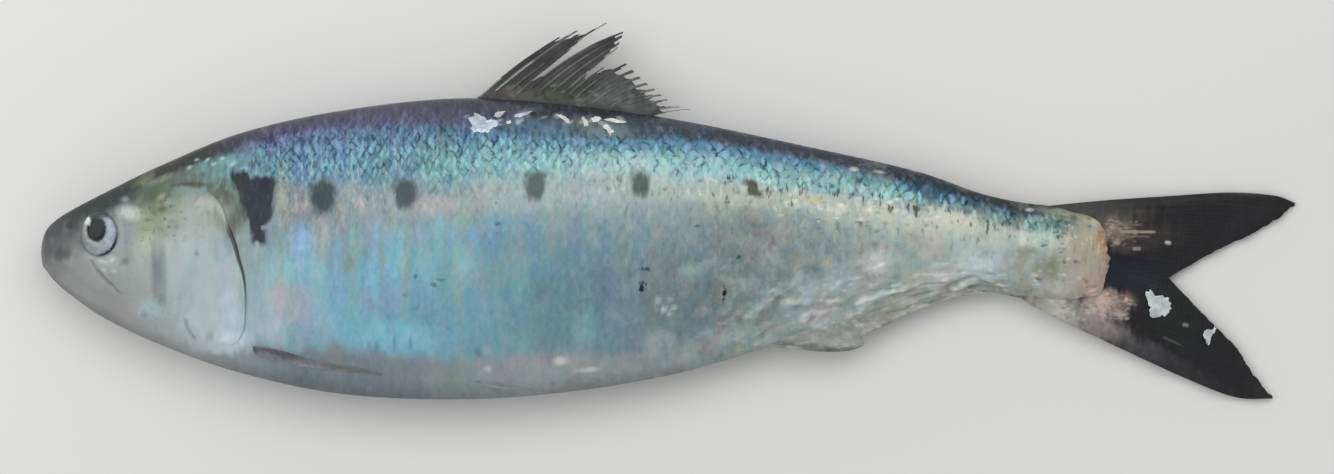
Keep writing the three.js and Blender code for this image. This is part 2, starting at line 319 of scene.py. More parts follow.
def varyTone(tree, colour, noise, darker, lighter, bold=1.0):
    # makes a colour darker and lighter with a noise, by shares of its own brightness
    tone = addNode(tree, "MapRange", {0: noise, **noiseSpan, 3: darker, 4: lighter})
    tone = addNode(tree, "Math", {0: tone, 1: bold, 2: 1.0}, operation="MULTIPLY_ADD")
    return addNode(tree, "HueSaturation", {"Value": tone, "Color": colour})


# Camera, floor and light

view = {
    "lens": 200,
    "sensor": 36,
    "frameWidth": 179.7 * mm,  # what the photograph's width covers at the fish's middle
    "middleLevel": 7.4 * mm,
    "x": -0.54 * mm,
    "y": -3.5 * mm,
}
cameraData = bpy.data.cameras.new("camera")
cameraData.lens = view["lens"]
cameraData.sensor_width = view["sensor"]
camera = bpy.data.objects.new("camera", cameraData)
cameraHeight = view["middleLevel"] + view["frameWidth"] * view["lens"] / view["sensor"]
camera.location = (view["x"], view["y"], cameraHeight)
bpy.context.scene.collection.objects.link(camera)
bpy.context.scene.camera = camera
bpy.context.scene.view_settings.view_transform = "Standard"

studio = {
    "floor": "#e4e4e2",
    "worldStrength": 0.53,
    "lights": [  # name, place, size in metres, watts
        ("keyLight", (-0.3, 0.55, 0.9), 1.5, 10.35),
        ("fillLight", (0.3, -0.65, 0.7), 1.5, 7.55),
    ],
}


def makeStudio():
    bpy.ops.object.select_all(action="DESELECT")
    bpy.ops.mesh.primitive_plane_add(size=6)
    floor = bpy.context.object
    floor.name = "floor"
    material, tree = newMaterial("matt white paper sweep")
    paper = addNode(tree, "BsdfPrincipled", {"Base Color": studio["floor"], "Roughness": 0.9})
    addNode(tree, "OutputMaterial", {"Surface": paper})
    floor.data.materials.append(material)
    world = bpy.data.worlds.new("soft studio")
    bpy.context.scene.world = world
    world.use_nodes = True
    background = world.node_tree.nodes["Background"]
    background.inputs["Color"].default_value = (1, 1, 1, 1)
    background.inputs["Strength"].default_value = studio["worldStrength"]
    for name, place, size, watts in studio["lights"]:
        lamp = bpy.data.lights.new(name, "AREA")
        lamp.size = size
        lamp.energy = watts
        light = bpy.data.objects.new(name, lamp)
        light.location = place
        direction = np.array((0, 0, 0)) - np.array(place)
        light.rotation_euler = (
            math.atan2(math.hypot(direction[0], direction[1]), -direction[2]),
            0,
            math.atan2(direction[0], -direction[1]),
        )
        bpy.context.scene.collection.objects.link(light)


makeStudio()
print("studio set")

# Skin

skin = {
    "along": 410,
    "around": 238,
    "shownShare": 0.6,  # of the columns, on the flank that shows
    "crowding": 1.35,  # draws the grid's lines together towards the snout
    "scaleLengths": (0.95, 1.45),  # mm from edge to edge, at the shoulder and behind the dorsal fin
    "rowSteps": (0.75, 1.0),  # mm between rows of scales there, each row set half a scale further back
    "scalesGrow": (24, 46),
    "scaleRelief": 0.05 * mm,
    "scalesFrom": 16.0,
    "scalesTo": 83.0,
    "scalesFade": 2.0,
    "spotSquareness": 2.8,  # 2 makes the spots round
    "scabColour": "#1c2425",
    # colour of the painted shade in the grooves, the gill slit and the eye's socket
    "grooveShadeColour": "#3b403d",
    "foldDepth": 0.3 * mm,  # of the wet wrinkles low on the rear flank
    # crest is painted light on the wrinkles, hollow painted shade between them, wet painted highlights
    "foldColours": {"crest": "#bcbdbd", "hollow": "#858f8d", "wet": "#e9ece6"},
    "endLine": [  # where the scaly skin ends on the tail fin, from the keel (-1) to the back (1)
        (-1.0, 86.0), (-0.87, 85.8), (-0.6, 85.35), (-0.3, 85.35), (-0.05, 85.25), (0.4, 84.9), (0.75, 84.85),
        (0.9, 84.2), (1.0, 83.2),
    ],
    "raggedEnd": 0.34,  # percent by which that line is frayed
    "smoothStrip": (41.2, 9.75, 6.4, 0.75),  # where slime hides the scales: at, height, half sizes
    "endLip": 0.012,  # share of the length over which the skin closes down on to the fin
}
eye = {"at": 4.83, "height": 1.27, "halfLength": 1.5, "halfHeight": 1.8, "depth": 0.5, "bulge": 0.26,
       "socket": 0.9 * mm}  # how deep the skin goes in around it
zoneLines = [  # at, then the heights where dark back, blue band, bright band, pale band, flank and belly meet
    (0.0, 1.6, 1.2, 0.8, 0.2, -1.0),
    (16.6, 8.2, 7.0, 5.0, 0.8, -7.0),
    (24.0, 9.6, 7.5, 4.9, 1.2, -7.2),
    (31.0, 9.9, 7.9, 4.9, 1.9, -7.8),
    (37.0, 9.4, 8.1, 5.4, 2.6, -7.8),
    (44.0, 9.0, 7.8, 6.1, 2.9, -7.7),
    (51.0, 8.7, 7.7, 5.65, 3.5, -7.2),
    (58.0, 7.8, 6.9, 4.9, 3.1, -4.6),
    (65.0, 6.1, 5.4, 3.9, 1.9, -3.0),
    (72.0, 4.6, 3.9, 3.0, 0.7, -2.2),
    (78.0, 3.0, 2.4, 1.5, 0.2, -2.2),
    (85.0, 2.0, 1.6, 1.2, -0.4, -3.2),
]
zoneColours = {  # along the fish, by percent behind the snout
    "back": [(0, "#626363"), (5, "#454a49"), (13, "#3d423c"), (19, "#5a5370"), (27, "#665f79"),
             (35, "#585a68"), (44, "#4a5658"), (52, "#3b4556"), (64, "#3a454c"), (72, "#2c3c45"),
             (79, "#3c4844"), (84, "#7c857c")],
    "blue": [(0, "#6a6c6c"), (6, "#5a605f"), (13, "#6a827f"), (19, "#707b9c"), (27, "#687d98"),
             (34, "#577e94"), (44, "#5f8e98"), (52, "#5b8aa6"), (60, "#5a8aa4"), (66, "#5f8a89"),
             (72, "#3b6078"), (79, "#4a6461"), (84, "#8b948a")],
    "bright": [(0, "#7a7c7c"), (8, "#7f8a84"), (15, "#7b9c98"), (21, "#5a84a2"), (29, "#5f8d9a"),
               (37, "#7db0b4"), (46, "#a8cbc4"), (54, "#8ec1c8"), (62, "#8bb8b8"), (70, "#7f9a95"),
               (79, "#76908a"), (84, "#b3b3a3")],
    "pale": [(0, "#86888a"), (8, "#979f97"), (14, "#858c84"), (20, "#7d8789"), (27, "#8f9b9b"),
             (38, "#9aaaa4"), (46, "#a4b3ae"), (56, "#b4bcb2"), (64, "#bbc0b3"), (72, "#c8ccbe"),
             (79, "#bac3b8"), (84, "#bda98e")],
    "flank": [(0, "#8d8e8e"), (10, "#a6aeac"), (18, "#95b2b9"), (25, "#7fabc0"), (33, "#78a6b6"),
              (41, "#6f909d"), (48, "#728d9b"), (55, "#758889"), (62, "#949d9b"), (70, "#adb5b1"),
              (78, "#aeb3ac"), (84, "#b09d93")],
    "belly": [(0, "#8b8c8c"), (12, "#a4a8a8"), (20, "#7a848b"), (27, "#80888c"), (38, "#9ca1a3"),
              (46, "#969c9d"), (54, "#98a09e"), (62, "#9ba29e"), (72, "#9fa29b"), (84, "#998f89")],
}
spots = [  # at, height, half length, half height, how much wider it is at its top than at its middle
    (22.7, 4.25, 1.0, 1.4, 0.12),
    (29.1, 4.55, 0.95, 1.2, 0.2),
    (39.3, 5.1, 0.82, 1.15, 0.25),
    (47.6, 5.25, 0.74, 1.15, 0.15),
    (56.45, 4.95, 0.4, 0.6, -0.1),
]
blotch = [(15.3, 6.0), (16.2, 6.15), (16.45, 6.4), (16.8, 6.3), (17.2, 5.85), (18.3, 5.8), (18.85, 5.4),
          (18.9, 4.7), (18.75, 3.7), (18.6, 2.6), (18.3, 2.0), (18.35, 1.1), (18.2, 0.35), (16.85, 0.35),
          (16.7, 1.3), (16.5, 2.3), (16.3, 3.1), (16.05, 3.8), (15.95, 4.6), (15.55, 5.3)]
blotchGaps = [  # where the skin shows through it: at, height, half length, half height, strength
    (16.95, 5.75, 0.15, 0.35, 0.35),
    (17.35, 3.3, 0.3, 0.45, 0.34),
    (17.75, 1.85, 0.4, 0.15, 0.55),
    (17.2, 1.35, 0.22, 0.25, 0.25),
    (17.5, 0.7, 0.16, 0.3, 0.35),
]
scabs = [  # small black marks on the flank: at, height, half length, half height, strength
    (47.75, -2.85, 0.27, 0.4, 1.0),
    (47.95, -1.45, 0.4, 0.2, 0.7),
    (54.17, -3.5, 0.16, 0.46, 1.0),
    (55.35, -0.45, 0.18, 0.15, 0.7),
    (52.0, 1.98, 0.24, 0.15, 0.6),
    (29.95, -2.0, 0.18, 0.22, 0.55),
    (31.4, -2.65, 0.3, 0.18, 0.45),
    (31.85, -2.3, 0.28, 0.14, 0.35),
    (29.15, -3.5, 0.2, 0.18, 0.35),
    (29.9, -4.5, 0.3, 0.3, 0.25),
    (36.35, 2.15, 0.2, 0.16, 0.5),
    (12.6, -0.2, 0.2, 0.3, 0.3),
]
grooves = [  # points, half width in percent, depth in mm, strength of the painted shade in them
    ([(4.2, -0.8), (4.45, -1.2), (5.2, -2.2), (5.9, -2.85), (6.45, -3.35)], 0.08, 0.12, 0.45),
    ([(4.7, -1.6), (5.2, -2.2), (5.8, -2.75)], 0.16, 0.1, 0.4),
    ([(0.2, -0.9), (1.6, -1.3), (3.0, -2.3), (4.9, -3.5)], 0.12, 0.03, 0.04),
    ([(10.6, 5.2), (11.5, 5.3), (12.6, 5.35), (13.4, 5.25)], 0.16, 0.12, 0.45),
    ([(9.2, 0.6), (9.35, -1.6), (9.3, -3.6)], 0.14, 0.08, 0.2),
    ([(10.0, 0.4), (10.15, -1.8), (10.0, -4.2)], 0.12, 0.06, 0.12),
    ([(11.7, -5.5), (11.8, -6.1), (12.3, -6.9)], 0.13, 0.08, 0.4),
    ([(2.2, 2.05), (2.4, 1.95)], 0.2, 0.3, 0.6),
]
bones = [  # what lifts the skin of the head: outline, how soft its edge is in percent, height in mm
    ([(7.9, 3.0), (9.2, 2.2), (9.6, -0.2), (9.5, -2.4), (8.8, -4.8), (7.4, -5.6), (6.4, -4.6), (7.2, -2.0),
      (7.2, 1.6)],
     0.5, 0.26),
    ([(0.8, -0.3), (2.2, 0.3), (3.6, -0.2), (4.6, -1.5), (5.9, -2.95), (6.4, -3.4), (5.4, -3.5), (3.6, -2.5)],
     0.4, 0.16),
    ([(0.8, -1.9), (2.6, -2.9), (5.4, -4.6), (7.6, -6.1), (5.4, -5.3), (2.2, -3.4)], 0.5, 0.1),
    ([(6.6, 3.9), (8.2, 3.5), (8.0, 2.6), (6.5, 3.0)], 0.4, 0.1),
]
# some rows are painted highlights, painted shade or a painted shadow, each noted above it
patches = [  # at, height, long radius, short radius, tilt in degrees, colour, strength
    (1.8, 1.3, 2.6, 1.6, 0, "#5a5d5e", 0.9),
    (0.8, 0.0, 1.0, 1.1, 0, "#5f6263", 0.8),
    (1.2, -1.5, 1.4, 0.8, 0, "#737676", 0.6),
    (3.6, -0.9, 1.0, 0.7, -30, "#8b908c", 0.5),
    (5.6, 5.0, 5.0, 1.6, 33, "#3e4445", 0.9),
    (5.5, 3.9, 2.4, 0.9, 20, "#3f4748", 0.85),
    (7.1, 1.2, 1.2, 2.0, 0, "#949e9f", 0.7),
    (9.4, 4.3, 1.7, 0.9, 12, "#566349", 0.9),
    (10.2, 2.6, 1.4, 1.6, 0, "#7f8a68", 0.85),
    (8.9, 2.4, 0.9, 1.3, 0, "#8a9479", 0.8),
    (8.9, 0.6, 0.9, 0.9, 0, "#a9b298", 0.75),
    (11.5, 4.0, 0.7, 0.9, 30, "#8b9078", 0.7),
    (1.85, -0.25, 0.7, 0.5, 0, "#4c5151", 0.85),
    (3.1, 0.3, 0.4, 0.8, 0, "#6f7676", 0.6),
    (8.3, 5.6, 1.0, 0.4, 30, "#9aa58a", 0.6),
    (7.2, 3.0, 1.1, 0.55, -15, "#c3cac6", 0.9),
    (6.8, 4.05, 0.35, 0.28, 0, "#98a1a0", 0.8),
    (9.9, 4.3, 0.35, 0.25, 30, "#a3ac98", 0.8),
    (10.3, 3.9, 0.3, 0.4, 30, "#9aa48e", 0.7),
    (9.9, 3.3, 0.4, 0.25, 10, "#4b5842", 0.8),
    (10.7, 2.3, 0.22, 0.2, 0, "#36402f", 0.9),
    (10.95, 1.9, 0.25, 0.35, 30, "#4b5640", 0.7),
    (9.2, 3.1, 0.3, 0.3, 0, "#5a6650", 0.6),
    (6.0, -1.0, 1.5, 0.6, -10, "#aab4b3", 0.6),
    (5.1, -0.85, 0.4, 0.14, -10, "#d0d8d8", 0.8),
    (5.9, -0.7, 0.3, 0.16, 20, "#cdd6d6", 0.7),
    (5.2, -1.5, 0.25, 0.15, -30, "#c2cccb", 0.7),
    (6.1, -1.6, 0.3, 0.14, 0, "#c2cccb", 0.6),
    (6.9, -0.85, 0.35, 0.3, 30, "#6b7d74", 0.8),
    (6.5, -1.1, 0.2, 0.15, 0, "#74857c", 0.7),
    # painted shade in the groove between the cheek and the gill cover
    (9.6, -1.6, 0.55, 2.6, 3, "#7f888c", 0.85),
    (9.7, -3.8, 0.4, 0.5, 0, "#6f8a88", 0.7),
    (10.6, -1.4, 0.5, 3.2, 3, "#b4bfbd", 0.5),
    (4.6, -3.6, 3.5, 1.4, -30, "#9da19d", 0.5),
    (8.0, -4.4, 1.3, 1.2, 0, "#a5a0a4", 0.5),
    (8.8, -4.5, 0.9, 0.9, 0, "#a9c6ca", 0.8),
    (8.4, -5.0, 0.25, 0.3, 0, "#7f9295", 0.6),
    (12.4, 1.8, 2.0, 2.4, 0, "#aab1ae", 0.7),
    (12.6, -2.6, 2.4, 2.6, 0, "#b3c0bf", 0.7),
    (13.2, -5.6, 2.4, 1.8, 0, "#bccbce", 0.8),
    # painted highlights below the gill cover, this row and the next
    (15.5, -7.0, 1.7, 1.1, 0, "#d6e4ec", 0.9),
    (14.9, -6.9, 0.7, 0.22, 25, "#f0f6f8", 0.8),
    (12.9, -6.7, 0.3, 0.8, 20, "#c6cfd3", 0.7),
    (18.2, -5.9, 1.6, 1.7, 0, "#b8c3ce", 0.8),
    (13.9, -7.6, 1.6, 0.6, 0, "#bcc8cb", 0.7),
    (15.0, 4.5, 1.3, 0.8, -55, "#575d50", 0.95),
    (16.0, 2.8, 0.6, 1.8, -20, "#595f54", 0.95),
    (38.7, 6.0, 0.32, 0.26, 0, "#66746c", 0.8),
    (39.9, 6.0, 0.32, 0.26, 0, "#66746c", 0.8),
    (67.4, 4.7, 2.2, 0.8, -12, "#74ad9c", 0.55),
    (63.4, 5.3, 1.2, 0.6, -8, "#7fb3a6", 0.5),
    (55.5, -3.4, 3.6, 2.2, 0, "#78867f", 0.4),
    (56.95, 4.5, 0.42, 0.35, 0, "#57483f", 0.9),
    (56.1, 5.35, 0.34, 0.36, 0, "#4a4439", 0.9),
    (55.9, 5.5, 0.28, 0.3, 0, "#4d5347", 0.8),
    (56.2, 3.9, 0.16, 0.3, 0, "#5b5449", 0.7),
    (24.5, 8.0, 3.0, 0.5, 0, "#829bc2", 0.55),
    (20.0, 8.0, 1.6, 0.45, 0, "#7785a6", 0.5),
    (51.0, -4.4, 2.4, 2.8, 0, "#66787a", 0.45),
    (16.5, 0.2, 0.8, 0.7, 0, "#77837e", 0.7),
    (12.0, 5.9, 3.0, 0.7, 15, "#6b7265", 0.6),
    (14.8, 6.95, 2.0, 0.5, 14, "#84b3ac", 0.7),
    # painted highlights, glints on the nape, down to the row at 14.6
    (12.5, 7.2, 0.2, 0.13, 20, "#bfe6d6", 0.9),
    (13.4, 7.2, 0.28, 0.14, 40, "#c6ecdc", 0.9),
    (13.95, 6.85, 0.3, 0.18, 20, "#c6ecdc", 0.9),
    (15.45, 6.85, 0.25, 0.14, 30, "#b5ddd0", 0.8),
    (16.3, 6.55, 0.3, 0.15, 0, "#a8d5cb", 0.8),
    (12.0, 6.6, 0.25, 0.14, 30, "#b9d3c6", 0.7),
    (14.6, 7.3, 0.2, 0.12, 0, "#b9e2d6", 0.8),
    (12.3, 5.3, 1.7, 0.36, -6, "#5b5f4d", 0.85),
    (14.0, 4.4, 0.8, 0.42, -50, "#5f6454", 0.85),
    (9.6, 5.65, 1.5, 0.28, 24, "#8f9482", 0.8),
    (39.4, 9.7, 3.4, 0.75, -3, "#5a7689", 0.95),
    (44.6, 9.55, 2.8, 0.6, -4, "#768a88", 0.95),
    # a faint painted sheen
    (38.3, 10.75, 0.9, 0.35, 22, "#93a6b4", 0.8),
    (40.4, 10.9, 1.4, 0.35, 0, "#2b352c", 0.8),
    (43.2, 10.95, 2.2, 0.2, -4, "#2f2a2f", 0.7),
    (42.9, 10.2, 0.7, 0.35, 0, "#7b766a", 0.7),
    (17.6, -2.4, 1.5, 4.2, 0, "#abbec2", 0.75),
    (17.0, -0.6, 1.4, 1.0, 0, "#9fa79b", 0.6),
    (17.3, 1.5, 0.5, 0.5, 0, "#8e9a90", 0.7),
    (19.4, 3.6, 0.5, 2.0, 0, "#a3a99f", 0.6),
    (20.6, -4.2, 2.2, 1.7, 0, "#b8b4bc", 0.75),
    (20.9, 0.6, 1.1, 1.4, 0, "#8dbbdc", 0.7),
    # painted shadow by the blotch's lower right
    (18.6, 1.2, 0.9, 1.6, 0, "#7d8c8c", 0.8),
    (21.5, 0.9, 0.6, 1.5, 0, "#93b5dd", 0.6),
    (20.6, -1.6, 2.8, 1.2, -20, "#8cbfc6", 0.6),
    (22.5, 0.9, 0.8, 1.6, 0, "#a2a3ab", 0.7),
    (24.2, -5.0, 2.9, 1.9, -40, "#86b6cb", 0.85),
    (28.5, -6.8, 3.8, 1.3, -12, "#84bfd0", 0.8),
    (27.0, -1.4, 0.8, 1.9, 0, "#84c2d8", 0.55),
    (30.6, -1.0, 1.2, 1.5, 0, "#83c4c6", 0.6),
    (33.4, -0.9, 0.8, 1.4, 0, "#86c6c6", 0.6),
    (26.9, -3.9, 2.6, 1.4, 0, "#8ea0b6", 0.5),
    (36.8, 1.1, 3.2, 1.5, 0, "#6f92a4", 0.6),
    (28.4, -1.2, 0.8, 1.4, 0, "#84c6d2", 0.65),
    (26.6, -2.8, 0.5, 1.1, 0, "#86c8dc", 0.6),
    (19.0, -3.6, 0.8, 1.2, 0, "#b5b3bd", 0.6),
    (24.6, -0.9, 0.4, 1.2, 0, "#939d86", 0.5),
    (27.3, -0.8, 0.35, 1.2, 0, "#9aa588", 0.5),
    (34.5, 1.2, 0.5, 0.8, 0, "#7d9fcc", 0.5),
    (36.0, 1.0, 0.5, 0.8, 0, "#6f9ac2", 0.5),
    (38.0, -2.6, 0.7, 1.7, 0, "#74aebb", 0.5),
    (32.4, -3.2, 1.1, 1.4, 0, "#7aa9a5", 0.5),
    (39.7, -3.8, 0.9, 1.6, 0, "#6b8790", 0.45),
    (21.2, 3.5, 0.4, 0.7, 0, "#aa9c98", 0.6),
    (22.7, 1.8, 0.35, 0.9, 0, "#b3b0b4", 0.6),
    (24.0, 3.3, 0.4, 0.6, 20, "#a79a92", 0.55),
    (25.4, 3.8, 0.5, 0.5, 0, "#b5b0a6", 0.5),
    (20.4, 3.4, 0.25, 0.9, 0, "#8d7f6c", 0.55),
    (38.2, -7.1, 1.0, 0.8, 0, "#7cb0a6", 0.5),
    (26.6, -11.0, 1.2, 0.5, 0, "#8a889c", 0.5),
    (30.2, -8.9, 1.0, 0.9, 0, "#85859a", 0.5),
    (33.0, -10.6, 1.2, 0.9, 0, "#7d9186", 0.6),
    (40.0, -8.4, 0.6, 1.0, 0, "#928598", 0.55),
    (37.3, -9.5, 1.7, 0.9, 0, "#a49da6", 0.55),
    # painted wet highlights on the belly, down to the row at 35.4, -7.8
    (41.3, -8.7, 0.5, 0.35, 0, "#d6d0d2", 0.85),
    (43.5, -9.4, 0.9, 0.22, 5, "#d3d2d1", 0.8),
    (35.5, -9.3, 0.35, 0.3, 0, "#c9cdd3", 0.7),
    (35.4, -7.8, 0.35, 0.5, 0, "#a9bccb", 0.6),
    (34.8, -8.1, 0.35, 0.45, 0, "#5d6f70", 0.6),
    (26.8, -7.6, 0.16, 0.6, 0, "#4d6a70", 0.5),
    (28.2, -7.3, 0.15, 0.6, 0, "#4d6a70", 0.5),
    (29.5, -7.2, 0.17, 0.55, 0, "#476570", 0.55),
    (38.0, -1.2, 4.0, 1.0, 4, "#79a3b8", 0.5),
    (44.4, -2.8, 2.2, 2.6, 0, "#6c8090", 0.4),
    (48.9, -3.2, 1.8, 3.0, 0, "#75857f", 0.5),
    (51.6, -1.6, 1.0, 0.7, 0, "#9ac0b2", 0.6),
    (43.3, -6.0, 1.0, 1.5, 0, "#7cb0bc", 0.5),
    (31.5, 3.6, 2.6, 0.6, 0, "#b3a8a3", 0.6),
    (29.9, 4.1, 0.5, 0.4, 0, "#8f7f80", 0.6),
    (55.8, 1.9, 2.6, 0.9, -5, "#8e8a82", 0.45),
    (44.0, 1.3, 3.5, 1.0, -4, "#7b949f", 0.4),
    (49.0, -3.9, 0.16, 0.4, 0, "#d3dfdc", 0.9),
    (49.4, -4.6, 0.2, 0.3, 0, "#d3dfdc", 0.9),
    (49.95, -3.8, 0.16, 0.35, 0, "#c6d4d4", 0.85),
    (50.2, -4.5, 0.22, 0.2, 0, "#d3dfdc", 0.85),
    (49.9, -5.0, 0.16, 0.18, 0, "#c6d4d4", 0.85),
    (50.6, -6.6, 0.4, 0.3, 0, "#5c6a66", 0.6),
    (49.3, -7.3, 1.9, 0.9, -10, "#a9b1b0", 0.6),
    (55.4, -6.6, 1.2, 0.8, 0, "#a8acab", 0.6),
    (59.0, -5.0, 2.2, 1.2, 10, "#a8a9a8", 0.7),
    (60.7, -3.3, 1.3, 0.9, 0, "#adb3b2", 0.7),
    (62.5, -5.6, 2.0, 0.9, 25, "#b4b3b7", 0.8),
    (58.0, -2.0, 1.8, 1.6, 0, "#87968a", 0.5),
    (66.2, -1.0, 1.0, 0.95, 0, "#d0dbd6", 0.95),
    (62.0, 0.6, 2.0, 1.3, 0, "#8e9b94", 0.5),
    # painted highlights, glints in the rear band, this row and the next
    (56.9, 6.1, 0.4, 0.35, 0, "#a5ecd6", 0.8),
    (57.2, 5.6, 0.25, 0.2, 0, "#baf0dd", 0.7),
    (61.4, 3.9, 1.3, 0.4, -8, "#c9bf95", 0.75),
    (63.4, 3.2, 0.5, 0.45, 0, "#e0e0d2", 0.75),
    (60.2, 4.6, 0.4, 0.4, 0, "#d8d6c6", 0.6),
    (68.9, 2.2, 0.6, 0.4, -10, "#e3e0cf", 0.7),
    (66.9, 4.4, 0.5, 0.5, 0, "#8fd0bd", 0.7),
    (73.4, 0.6, 0.2, 0.7, 0, "#5d5a50", 0.7),
    (70.4, 4.6, 1.9, 0.7, -18, "#345572", 0.8),
    (68.6, 3.3, 0.9, 0.9, 0, "#a9bcc6", 0.6),
    (72.6, 2.4, 1.6, 0.5, 0, "#d6d2bd", 0.7),
    (66.5, 2.9, 1.8, 0.35, -8, "#d0ccbb", 0.7),
    (74.5, -0.8, 2.0, 1.3, 0, "#cfd3db", 0.95),
    # painted highlights on the wrinkles near the belly, down to the row at 71.8
    (70.3, -1.85, 0.8, 0.15, 0, "#dde4da", 0.85),
    (69.0, -2.8, 1.6, 0.25, 18, "#ccd3c6", 0.7),
    (71.8, -2.2, 0.9, 0.2, 25, "#d3d9cc", 0.7),
    (74.0, 0.5, 1.6, 0.7, 0, "#c6cbc4", 0.8),
    (77.2, -1.2, 0.9, 1.2, 0, "#a5a19e", 0.75),
    (79.6, 2.5, 2.0, 0.25, 0, "#b9c2ab", 0.6),
    (81.3, 3.05, 1.9, 0.32, -7, "#b4baa6", 0.85),
    # painted light on the tail root's upper corner, where the body turns away
    (83.7, 2.4, 1.0, 0.55, -32, "#cfc9b4", 0.9),
    (80.3, 1.95, 1.6, 0.55, 0, "#4b8280", 0.85),
    (79.7, 0.9, 1.5, 0.8, 0, "#aecdc1", 0.85),
    (77.9, 1.0, 0.35, 0.7, 0, "#dfe9df", 0.7),
    (78.3, -0.1, 1.0, 0.5, 0, "#7a7d72", 0.6),
    (80.3, -1.3, 1.2, 0.9, 0, "#82835f", 0.9),
    (79.2, -2.3, 0.3, 0.25, 0, "#5a5244", 0.8),
    (82.8, 0.2, 0.9, 3.0, 0, "#aea58f", 0.9),
    (84.4, 1.1, 0.6, 1.3, 0, "#b8946f", 0.95),
    (84.9, -0.9, 0.5, 1.0, 0, "#a38772", 0.9),
    (84.0, -3.3, 1.9, 1.0, 0, "#ab8f87", 0.95),
    (85.4, -3.6, 0.8, 0.7, 0, "#9c837b", 0.9),
    (85.0, -2.0, 0.35, 1.0, 0, "#a58d80", 0.9),
    # painted highlights along the back's edge, down to the row at 78.5
    (64.55, 6.45, 0.42, 0.17, -5, "#cdd5d2", 0.9),
    (66.5, 6.25, 0.46, 0.18, -10, "#dee4e1", 0.95),
    (78.5, 3.25, 0.32, 0.15, 0, "#dee4e1", 0.95),
    (81.5, -4.0, 2.4, 0.5, -8, "#a09d94", 0.8),
    (80.8, -3.0, 1.4, 0.5, -10, "#c1beb4", 0.7),
]
skinMarks = [  # strewn marks: at, height, half length, half height, how many, radius, colour
    # the first three rows are painted highlights: wet dots low on the rear flank, silver flecks at the tail
    # root
    (62.4, -4.9, 3.4, 1.2, 26, 0.3, "#d6d5da"),
    (70.5, -2.6, 3.0, 0.6, 12, 0.26, "#d5dacd"),
    (80.6, -0.4, 2.2, 2.4, 22, 0.18, "#d3d5c8"),
    (81.0, 0.6, 2.4, 2.2, 20, 0.16, "#5f5c4c"),
    (84.2, -3.1, 1.5, 0.9, 26, 0.16, "#d0b5ab"),
    (84.2, -3.1, 1.5, 0.9, 18, 0.14, "#7a5d52"),
    (82.6, -3.9, 2.2, 0.5, 22, 0.15, "#c3b9ae"),
    (82.6, -3.9, 2.2, 0.5, 14, 0.13, "#75695f"),
    (84.7, 0.4, 0.3, 1.8, 20, 0.16, "#8a6a50"),
    (84.9, -1.6, 0.25, 1.0, 12, 0.15, "#5f4a40"),
    (65.0, 3.3, 7.0, 0.9, 34, 0.22, "#ecebdc"),
    (68.0, 2.7, 8.0, 1.2, 34, 0.17, "#656152"),
    (69.5, 2.3, 5.0, 0.5, 10, 0.24, "#d9c9a0"),
    (56.0, 5.0, 4.0, 0.9, 16, 0.2, "#dfe3d8"),
    (56.5, 4.6, 5.0, 1.2, 16, 0.17, "#5d5f55"),
    (38.0, 10.3, 4.5, 0.35, 12, 0.22, "#c3cccb"),
    (44.0, 10.2, 2.4, 0.35, 10, 0.22, "#c9c8b8"),
    (41.5, 10.7, 4.0, 0.25, 14, 0.2, "#2a2f28"),
]


def zoneOf(at, height):  # 0 at the back's edge, 1 to 5 at the zone lines, 6 at the keel
    lines = [backAt(at)] + [smoothCurve(zoneLines, at, column) for column in (1, 2, 3, 4, 5)] + [bellyAt(at)]
    zone = np.zeros(np.shape(at))
    for i, (top, bottom) in enumerate(zip(lines, lines[1:])):
        depth = np.clip((top - height) / np.maximum(top - bottom, 1e-3), 0, 1)
        zone = np.where(height < top, i + depth, zone)
    return zone


def mottle(x, y, seed):  # smooth random values from 0 to 1, one unit apart
    size = 64  # after so many units the values come again
    table = np.random.default_rng(seed).random((size, size))
    column, row = np.floor(x).astype(int), np.floor(y).astype(int)
    fx, fy = easeStep(0, 1, x - column), easeStep(0, 1, y - row)
    corner = [[table[(row + j) % size, (column + i) % size] for i in (0, 1)] for j in (0, 1)]
    lower = corner[0][0] * (1 - fx) + corner[0][1] * fx
    upper = corner[1][0] * (1 - fx) + corner[1][1] * fx
    return lower * (1 - fy) + upper * fy


def strewn(fields, seed):  # marks at random: at, height, half length, half height, how many, radius, colour
    random = np.random.default_rng(seed)
    marks = []
    for a, h, halfLength, halfHeight, count, radius, colour in fields:
        for _ in range(count):
            x, y = random.uniform(-1, 1, 2) * (halfLength, halfHeight)
            longRadius, shortRadius = radius * random.uniform(0.6, 1.7), radius * random.uniform(0.4, 0.9)
            tilt, strength = random.uniform(-30, 30), random.uniform(0.5, 1.0)
            marks.append((a + x, h + y, longRadius, shortRadius, tilt, colour, strength))
    return marks


def layPaint(paint, cover, colour):  # lays a colour over the paint, as strongly as cover says
    shown = cover + paint[:, 3] * (1 - cover)
    under = paint[:, :3] * (paint[:, 3] * (1 - cover))[:, None]
    paint[:, :3] = (under + np.outer(cover, linear(colour)[:3])) / np.maximum(shown, 1e-6)[:, None]
    paint[:, 3] = shown


def paintPatches(patches, at, height):  # soft-edged patches laid over one another: linear colour and strength
    paint = np.zeros((len(at), 4))
    ragged = 0.5 * mottle(at * 1.9, height * 0.8, 3) + 0.5 * mottle(at * 4.6, height * 1.5, 5)
    for a, h, longRadius, shortRadius, tilt, colour, strength in patches:
        turned = math.radians(tilt)
        x = ((at - a) * math.cos(turned) + (height - h) * math.sin(turned)) / longRadius
        y = ((height - h) * math.cos(turned) - (at - a) * math.sin(turned)) / shortRadius
        layPaint(paint, strength * easeStep(1.5, 0.2, np.hypot(x, y) + 0.9 * (ragged - 0.5)), colour)
    return paint


def scalePhase(u, v):  # 0 in front, rising to 1 at the free edge of the scale that lies on top
    phases = []
    for shift in (0.0, 1.0):
        across = np.mod(v + shift, 2) - 1
        phases.append(np.mod(u + 0.5 * shift + 0.5 * across**2, 1))
    return np.maximum(*phases)


